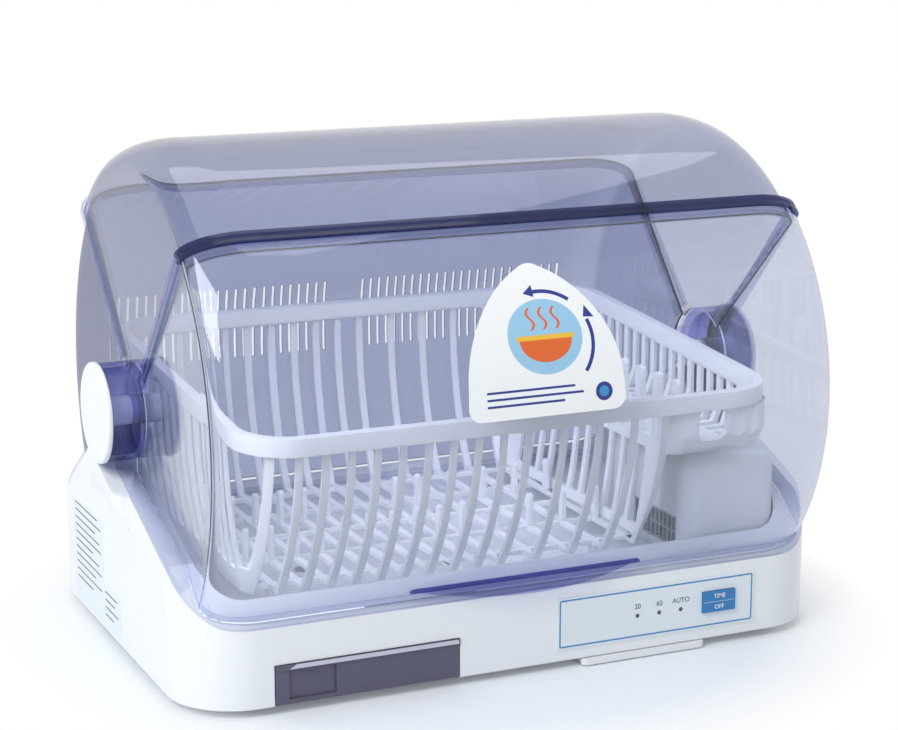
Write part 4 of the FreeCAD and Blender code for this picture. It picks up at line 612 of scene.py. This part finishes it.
def slim_legs(rail):
    """Gives the ends of a rail, below the shoulder, the paler material of a slim leg."""
    below_shoulder = LID_RADIUS - SHOULDER_DEEP - 2
    rail.data.materials.append(leg_as)
    for face in rail.data.polygons:
        middle = face.center / MM - MIDDLE
        if math.hypot(middle.y - PIVOT_Y, middle.z - PIVOT_Z) < below_shoulder:
            face.material_index = 1


# A double rail: two rounded ridges with a shallow valley between them
DOUBLE_RAIL = [(0.05, 0.0), (1.8, 0.0), (2.6, 0.6), (2.6, 2.9), (1.9, 3.7), (1.2, 4.3),
               (1.2, 4.9), (1.9, 5.5), (2.6, 6.3), (2.6, 8.4), (1.8, 9.0), (0.05, 9.0)]


def turned_back(profile):
    """The profile run from the shell's edge back along the arc."""
    return [(lift, -run) for lift, run in profile]


def inner_rail(deep, long):
    """Profile of a single rail inside a shell, with its corners taken off."""
    skin, bevel = -LID_SKIN, 0.6
    return [(-deep, bevel), (-deep + bevel, 0.0), (skin, 0.0), (skin, long), (-deep + bevel, long),
            (-deep, long - bevel)]


def build_front_lid():
    section = full_section(0, LID_SKIN, HUB_RADIUS)

    def angles(radius):
        low = edge_angle(radius, FRONT_TOP - 20, -0.1) if radius > SADDLE_RADIUS else -75.0
        return spread(low, FRONT_TOP, 44)

    verts, faces = dome_shell(section, angles)
    piece("front_lid_shell", verts, faces, front_as, "front_lid", ["front_lid"])
    rail = full_section(0, LID_SKIN, HUB_RADIUS + 1)
    verts, faces = edge_rail(rail, FRONT_TOP, turned_back(DOUBLE_RAIL))
    slim_legs(piece("front_lid_top_rail", verts, faces, rail_as, "front_lid"))
    verts, faces = lid_foot(front=True, offset=0, high=9.0)
    piece("front_lid_foot", verts, faces, foot_as, "front_lid")
    verts, faces = finger_lip()
    piece("front_lid_finger_lip", verts, faces, lip_as, "front_lid")
    verts, faces = lip_ridge()
    piece("front_lid_lip_ridge", verts, faces, ridge_as, "front_lid")
    for side, mirror in SIDES:
        lathe("front_lid_hub_" + side, hub_outline(), hub_as, "front_lid", mirror)


def hub_disc(reach):
    """Half section of a disc in a shell's side wall, with its rim's corners taken off, round the pin."""
    back, bevel = reach - LID_SKIN, 0.5
    return [(back, PIN_HOLE), (back, HUB_RADIUS - bevel), (back + bevel, HUB_RADIUS),
            (reach - bevel, HUB_RADIUS), (reach, HUB_RADIUS - bevel), (reach, PIN_HOLE)]


def build_upper_lid():
    offset = -LID_STEP
    section = full_section(offset, LID_SKIN, HUB_RADIUS)
    verts, faces = dome_shell(section, lambda radius: spread(UPPER_FRONT, UPPER_BACK, 44))
    piece("upper_lid_shell", verts, faces, upper_as, "upper_lid", ["upper_lid"])
    rail = full_section(offset, LID_SKIN, HUB_RADIUS + 7)
    slim = [(lift * 0.92 if lift > 0 else lift, run * 0.83) for lift, run in DOUBLE_RAIL]
    verts, faces = edge_rail(rail, UPPER_BACK, turned_back(slim))
    piece("upper_lid_back_rail", verts, faces, leg_as, "upper_lid")
    verts, faces = edge_rail(rail, UPPER_FRONT, inner_rail(4.0, 4.0))
    piece("upper_lid_front_rail", verts, faces, leg_as, "upper_lid")
    for side, mirror in SIDES:
        lathe("upper_lid_hub_" + side, hub_disc(LID_REACH + offset), boss_as, "upper_lid", mirror)


VENT_ROWS = ((188.0, 212.0), (156.0, 181.0))
VENT_PITCH, VENT_WIDE, VENT_INNER, VENT_COUNT = 7.2, 2.4, 16.0, 25
# From this radius on the shell's stations follow the vents' levels, after so many stations above them
VENTED_FROM, BEFORE_VENTS = 120, 20


def build_rear_cover():
    offset = -2 * LID_STEP
    marks = []
    for turn in range(VENT_COUNT):
        middle = VENT_INNER + turn * VENT_PITCH
        marks += [middle - VENT_WIDE / 2, middle + VENT_WIDE / 2]
    section = full_section(offset, LID_SKIN, HUB_RADIUS, marks)
    stops = sorted((z + FEET_HIGH - PIVOT_Z for row in VENT_ROWS for z in row), reverse=True)

    def angles(radius):
        low = edge_angle(radius, 160, 0.1) if radius > SADDLE_RADIUS else 205.0
        if radius < VENTED_FROM:
            return spread(REAR_FRONT, low, 2 * BEFORE_VENTS + 6)
        cuts = [180 - math.degrees(math.asin(stop / radius)) for stop in stops]
        line = spread(REAR_FRONT, cuts[0], BEFORE_VENTS)
        for near, far in zip(cuts, cuts[1:]):
            line += spread(near, far, 2)[1:]
        return line + spread(cuts[-1], low, BEFORE_VENTS)[1:]

    open_cells = set()
    for row in range(len(section) - 1):
        x0, x1 = section[row][0][0], section[row + 1][0][0]
        middle = abs(x0 + x1) / 2
        slot = (middle - VENT_INNER) / VENT_PITCH
        on_vent = abs(slot - round(slot)) * VENT_PITCH < VENT_WIDE / 2 and 0 <= round(slot) < VENT_COUNT
        if on_vent and section[row][0][1] > VENTED_FROM:
            open_cells |= {(row, BEFORE_VENTS + cell) for cell in (0, 1, 4, 5)}
    verts, faces = dome_shell(section, angles, open_cells)
    piece("rear_cover_shell", verts, faces, rear_as, "base", ["rear_cover"])
    rail = full_section(offset, LID_SKIN, HUB_RADIUS + 1)
    verts, faces = edge_rail(rail, REAR_FRONT, inner_rail(5.0, 5.0))
    piece("rear_cover_front_rail", verts, faces, leg_as, "base")
    verts, faces = lid_foot(front=False, offset=offset, high=4.0)
    piece("rear_cover_foot", verts, faces, foot_as, "base")
    boss_end, boss_radius = 206, 21
    disc = hub_disc(LID_REACH + offset)
    boss = [(boss_end, PIN_HOLE), (boss_end, boss_radius - 0.6), (boss_end + 0.6, boss_radius),
            (disc[0][0], boss_radius)] + disc[1:]
    for side, mirror in SIDES:
        lathe("rear_cover_hub_" + side, boss, boss_as, "base", mirror)


build_front_lid()
build_upper_lid()
build_rear_cover()


# Printing: flat outlines in millimetres, cut into narrow strips and laid on their surface

def printed(name, outlines, lay, material, body, strip=2.0):
    """Thin ink from closed outlines; lay turns (across, up) into a point just above the film."""
    form = bmesh.new()
    for outline in outlines:
        form.faces.new([form.verts.new((u, v, 0)) for u, v in outline])
    bmesh.ops.triangulate(form, faces=form.faces[:])
    low = min(vertex.co.y for vertex in form.verts)
    high = max(vertex.co.y for vertex in form.verts)
    level = low + strip
    while strip and level < high:
        bmesh.ops.bisect_plane(form, geom=form.verts[:] + form.edges[:] + form.faces[:], dist=1e-4,
                               plane_co=(0, level, 0), plane_no=(0, 1, 0))
        level += strip
    for vertex in form.verts:
        vertex.co = in_frame(lay(vertex.co.x, vertex.co.y))
    mesh = bpy.data.meshes.new(name)
    form.to_mesh(mesh)
    form.free()
    place(name, mesh, material, body)


def ellipse(u, v, a, b, start=0, end=360, steps=40):
    return [(u + a * math.cos(math.radians(t)), v + b * math.sin(math.radians(t)))
            for t in spread(start, end, steps)[:steps if end - start == 360 else None]]


def ring_band(u, v, radius, wide, start, end):
    """Quads of a curved stroke."""
    turns = [math.radians(t) for t in spread(start, end, 30)]
    return [[(u + r * math.cos(t), v + r * math.sin(t))
             for r, t in ((radius, near), (radius + wide, near), (radius + wide, far), (radius, far))]
            for near, far in zip(turns, turns[1:])]


def rounded_rectangle(u0, v0, u1, v1, radius):
    corners = [(u1 - radius, v1 - radius, 0), (u0 + radius, v1 - radius, 90),
               (u0 + radius, v0 + radius, 180), (u1 - radius, v0 + radius, 270)]
    return [(u + radius * math.cos(math.radians(t)), v + radius * math.sin(math.radians(t)))
            for u, v, first in corners for t in spread(first, first + 90, 6)]


def frame_line(u0, v0, u1, v1, radius, wide):
    outer = rounded_rectangle(u0, v0, u1, v1, radius)
    inner = rounded_rectangle(u0 + wide, v0 + wide, u1 - wide, v1 - wide, max(radius - wide, 0.2))
    return [[outer[k - 1], outer[k], inner[k], inner[k - 1]] for k in range(len(outer))]


def lettering(name, words, tall, u, v, lay, material, body):
    """Plain words or numbers from the built-in font, centred on a place."""
    font = bpy.data.curves.new(name + "_letters", "FONT")
    font.body = words
    font.size = tall * 1.4
    font.align_x = "CENTER"
    font.align_y = "CENTER"
    font.offset = tall * 0.012
    holder = bpy.data.objects.new(name + "_letters", font)
    SCENE.collection.objects.link(holder)
    bpy.context.view_layer.update()
    mesh = bpy.data.meshes.new_from_object(holder.evaluated_get(bpy.context.evaluated_depsgraph_get()))
    bpy.data.objects.remove(holder)
    mesh.name = name
    for vertex in mesh.vertices:
        vertex.co = in_frame(lay(u + vertex.co.x, v + vertex.co.y))
    place(name, mesh, material, body)


def on_sticker(u, v):
    """Across and along the arc of the front lid, from the sticker's low edge."""
    radius = LID_RADIUS + 0.42
    return dome_point(u, radius, 4.5 + math.degrees(v / LID_RADIUS))


def on_print(u, v):
    """The same, a little further out, for ink that lies on ink."""
    return on_sticker(u, v) + dome_point(0, 0.05, 20) - Vector((0, PIVOT_Y, PIVOT_Z))


def sticker_print():
    """A made-up picture: a bowl in warm air, two arcs for the two steps of the lid, and ruled lines."""
    body = "front_lid"
    NODES["front_lid_sticker"].data.materials[0] = sticker_film
    printed("sticker_sky", [ellipse(2, 52, 27, 25)], on_sticker, ink_sky, body)
    printed("sticker_bowl", [ellipse(2, 50, 19, 15, 180, 360, 30)], on_print, ink_orange, body)
    printed("sticker_bowl_rim", [rounded_rectangle(-19, 49.6, 23, 53.0, 1.6)], on_print, ink_yellow, body)
    steam = []
    for middle in (-7, 2, 11):
        line = [(middle + 2.2 * math.sin(k / 10 * 2 * math.pi), 56.5 + 1.5 * k) for k in range(11)]
        steam += [[(a[0] - 0.9, a[1]), (a[0] + 0.9, a[1]), (b[0] + 0.9, b[1]), (b[0] - 0.9, b[1])]
                  for a, b in zip(line, line[1:])]
    printed("sticker_warm_air", steam, on_print, ink_orange, body)
    arcs = ring_band(2, 48, 33, 2.6, -38, 22) + [[(31.5, 62.6), (39.4, 62.0), (33.6, 70.5)]]
    arcs += ring_band(2, 48, 33, 2.6, 52, 96) + [[(-1.2, 78.6), (-1.6, 87.0), (-8.6, 81.4)]]
    printed("sticker_arcs", arcs, on_sticker, ink_navy, body)
    rules = [rounded_rectangle(-44, 17.5, 20, 19.0, 0.7), rounded_rectangle(-44, 13.0, 26, 14.5, 0.7),
             rounded_rectangle(-44, 8.5, 12, 10.0, 0.7)]
    printed("sticker_rules", rules, on_sticker, ink_navy, body)
    printed("sticker_dot", [ellipse(41, 12.5, 6.2, 6.2)], on_sticker, ink_navy, body)
    printed("sticker_dot_middle", [ellipse(41, 12.5, 3.6, 3.6)], on_print, ink_blue, body)


def on_panel(u, v):
    """Across and up the base's front, just before the control label."""
    return Vector((u, -HALF_DEPTH - 0.86, v + FEET_HIGH))


def on_button(u, v):
    """The same, just before the time button."""
    return Vector((u, -HALF_DEPTH - 2.66, v + FEET_HIGH))


def panel_print():
    """The control label's border, its plain numbers and the button's two words."""
    body = "base"
    printed("panel_border", frame_line(24.0, 9.4, 177.0, 43.6, 1.6, 1.1), on_panel, ink_blue, body,
            strip=0)
    for name, words, x in (("panel_number_20", "20", 84.7), ("panel_number_60", "60", 101.9),
                           ("panel_word_auto", "AUTO", 119.1)):
        lettering(name, words, 3.6, x, 31.2, on_panel, ink_grey, body)
    lettering("button_word_time", "TIME", 3.2, 149.3, 31.0, on_button, ink_white, "time_button")
    lettering("button_word_off", "OFF", 3.2, 149.3, 23.0, on_button, ink_white, "time_button")
    split = [(136.6, 26.75), (162.0, 26.75), (162.0, 27.25), (136.6, 27.25)]
    printed("button_split", [split], on_button, ink_sky, "time_button", strip=0)


def on_rating(u, v):
    """Along the base's left side from back to front, and up, just before the rating label."""
    return Vector((-HALF_WIDTH - 0.36, 105 - u, v + FEET_HIGH))


def rule(start, level, length):
    thick = 1.1
    return [(start, level), (start + length, level), (start + length, level + thick), (start, level + thick)]


def rating_print():
    """Grey rules in two blocks, with no words, in the place of the rating label's print."""
    pitch = 5.6
    rules = []
    for row, length in enumerate((58, 66, 52, 62, 66, 44, 60, 66, 50, 64, 40)):
        level = 76.0 - pitch * row
        rules.append(rule(6 + max(0, 40 - level) * 0.1, level, length))
    for row, length in enumerate((30, 24, 32, 20)):
        rules.append(rule(80, 28.5 - pitch * row, length))
    printed("rating_rules", rules, on_rating, ink_grey, "base", strip=0)


sticker_print()
panel_print()
rating_print()


def tray_painted_highlight():
    """A thin pale strip along the top of the tray's front: a painted highlight where its polished bevel
    catches the light.
    """
    front, high = -HALF_DEPTH - 1.25, FEET_HIGH + 27.4
    stations = ((-171.5, 2.6), (-167.0, 0.0), (-52.4, 0.0), (-51.4, 0.9))
    rings = [[(x, front, high - low), (x, front - 0.25, high - low), (x, front - 0.25, high - 2.9),
              (x, front, high - 2.9)] for x, low in stations]
    verts, faces = loft(rings)
    piece("drip_tray_front_painted_highlight", verts, faces, tray_highlight_as, "drip_tray")


tray_painted_highlight()


# Camera, at the photograph's place

def place_camera():
    """The camera that a fit to the photograph gave: focal length in pixels, angles and shift in metres."""
    focal, image_wide = 2268.0, 898
    yaw, pitch = math.radians(24.28), math.radians(12.70)
    shift = Vector((-0.0147, 0.17227, 1.69094))
    ahead = Vector((math.sin(yaw) * math.cos(pitch), math.cos(yaw) * math.cos(pitch), -math.sin(pitch)))
    right = Vector((math.cos(yaw), -math.sin(yaw), 0))
    down = ahead.cross(right)
    base_centre = Vector((0, MIDDLE.y, FEET_HIGH)) * MM
    spot = -(right * shift.x + down * shift.y + ahead * shift.z) + base_centre
    data = bpy.data.cameras.new("camera")
    data.sensor_width = 36.0
    data.lens = focal / image_wide * data.sensor_width
    data.clip_start = 0.05
    camera = bpy.data.objects.new("camera", data)
    turn = Matrix((right, -down, -ahead)).transposed()
    camera.matrix_world = Matrix.Translation(spot) @ turn.to_4x4()
    SCENE.collection.objects.link(camera)
    SCENE.camera = camera


place_camera()


# Studio: a pale floor that fades into white, a soft world and three lamps

def seen_directly(holder):
    """1 for rays from the eye, from gloss and through clear plastic, and 0 for the light's own."""
    path = add(holder, "ShaderNodeLightPath")
    seen = add(holder, "ShaderNodeMath", {"operation": "MAXIMUM"},
               {0: path.outputs["Is Camera Ray"], 1: path.outputs["Is Glossy Ray"]})
    seen = add(holder, "ShaderNodeMath", {"operation": "MAXIMUM"},
               {0: seen.outputs["Value"], 1: path.outputs["Is Transmission Ray"]})
    return seen.outputs["Value"]


def floor_material():
    material = new_material("studio_floor")
    diffuse = add(material, "ShaderNodeBsdfDiffuse", {"Color": linear("#EEF3F8")})
    # The white grows with the distance from the object, so that the shadow stays at its foot
    where = add(material, "ShaderNodeTexCoord")
    far = add(material, "ShaderNodeVectorMath", {"operation": "LENGTH"}, {0: where.outputs["Object"]})
    share = add(material, "ShaderNodeMapRange",
                {"From Min": 0.24, "From Max": 0.33, "To Min": 0.1, "To Max": 1.0},
                {"Value": far.outputs["Value"]})
    part = add(material, "ShaderNodeMath", {"operation": "MULTIPLY"},
               {0: seen_directly(material), 1: share.outputs["Result"]})
    glow = add(material, "ShaderNodeEmission", {"Color": (1, 1, 1, 1), "Strength": 1.0})
    mix = add(material, "ShaderNodeMixShader", {},
              {"Fac": part.outputs["Value"], 1: diffuse.outputs["BSDF"], 2: glow.outputs["Emission"]})
    return finish_surface(material, mix.outputs["Shader"])


def lay_floor():
    size = 8.0
    mesh = bpy.data.meshes.new("floor")
    mesh.from_pydata([(-size, -size, 0), (size, -size, 0), (size, size, 0), (-size, size, 0)], [],
                     [(0, 1, 2, 3)])
    mesh.materials.append(floor_material())
    floor = bpy.data.objects.new("floor", mesh)
    SCENE.collection.objects.link(floor)


def light_world():
    """Soft light from all sides, and plain white where the eye looks past the object."""
    world = bpy.data.worlds.new("studio")
    world.use_nodes = True
    nodes = world.node_tree.nodes
    ground = nodes["Background"]
    ground.inputs["Color"].default_value = (0.95, 0.97, 1, 1)
    ground.inputs["Strength"].default_value = 0.45
    white = add(world, "ShaderNodeBackground", {"Color": (1, 1, 1, 1)})
    mix = add(world, "ShaderNodeMixShader", {},
              {"Fac": seen_directly(world), 1: ground.outputs["Background"], 2: white.outputs["Background"]})
    world.node_tree.links.new(mix.outputs["Shader"], nodes["World Output"].inputs["Surface"])
    SCENE.world = world


def hang_lamps():
    for name, spot, watts, across in (("key", (-1.85, -1.05, 1.9), 46, 1.5),
                                      ("fill", (1.9, -1.2, 1.5), 2, 1.8),
                                      ("top", (0.2, 0.5, 2.6), 20, 2.2)):
        lamp = bpy.data.lights.new(name, "AREA")
        lamp.energy = watts
        lamp.size = across
        thing = bpy.data.objects.new(name, lamp)
        thing.location = spot
        thing.rotation_euler = (Vector((0, 0, 0.15)) - Vector(spot)).to_track_quat("-Z", "Y").to_euler()
        SCENE.collection.objects.link(thing)


lay_floor()
light_world()
hang_lamps()
SCENE.view_settings.view_transform = "Standard"
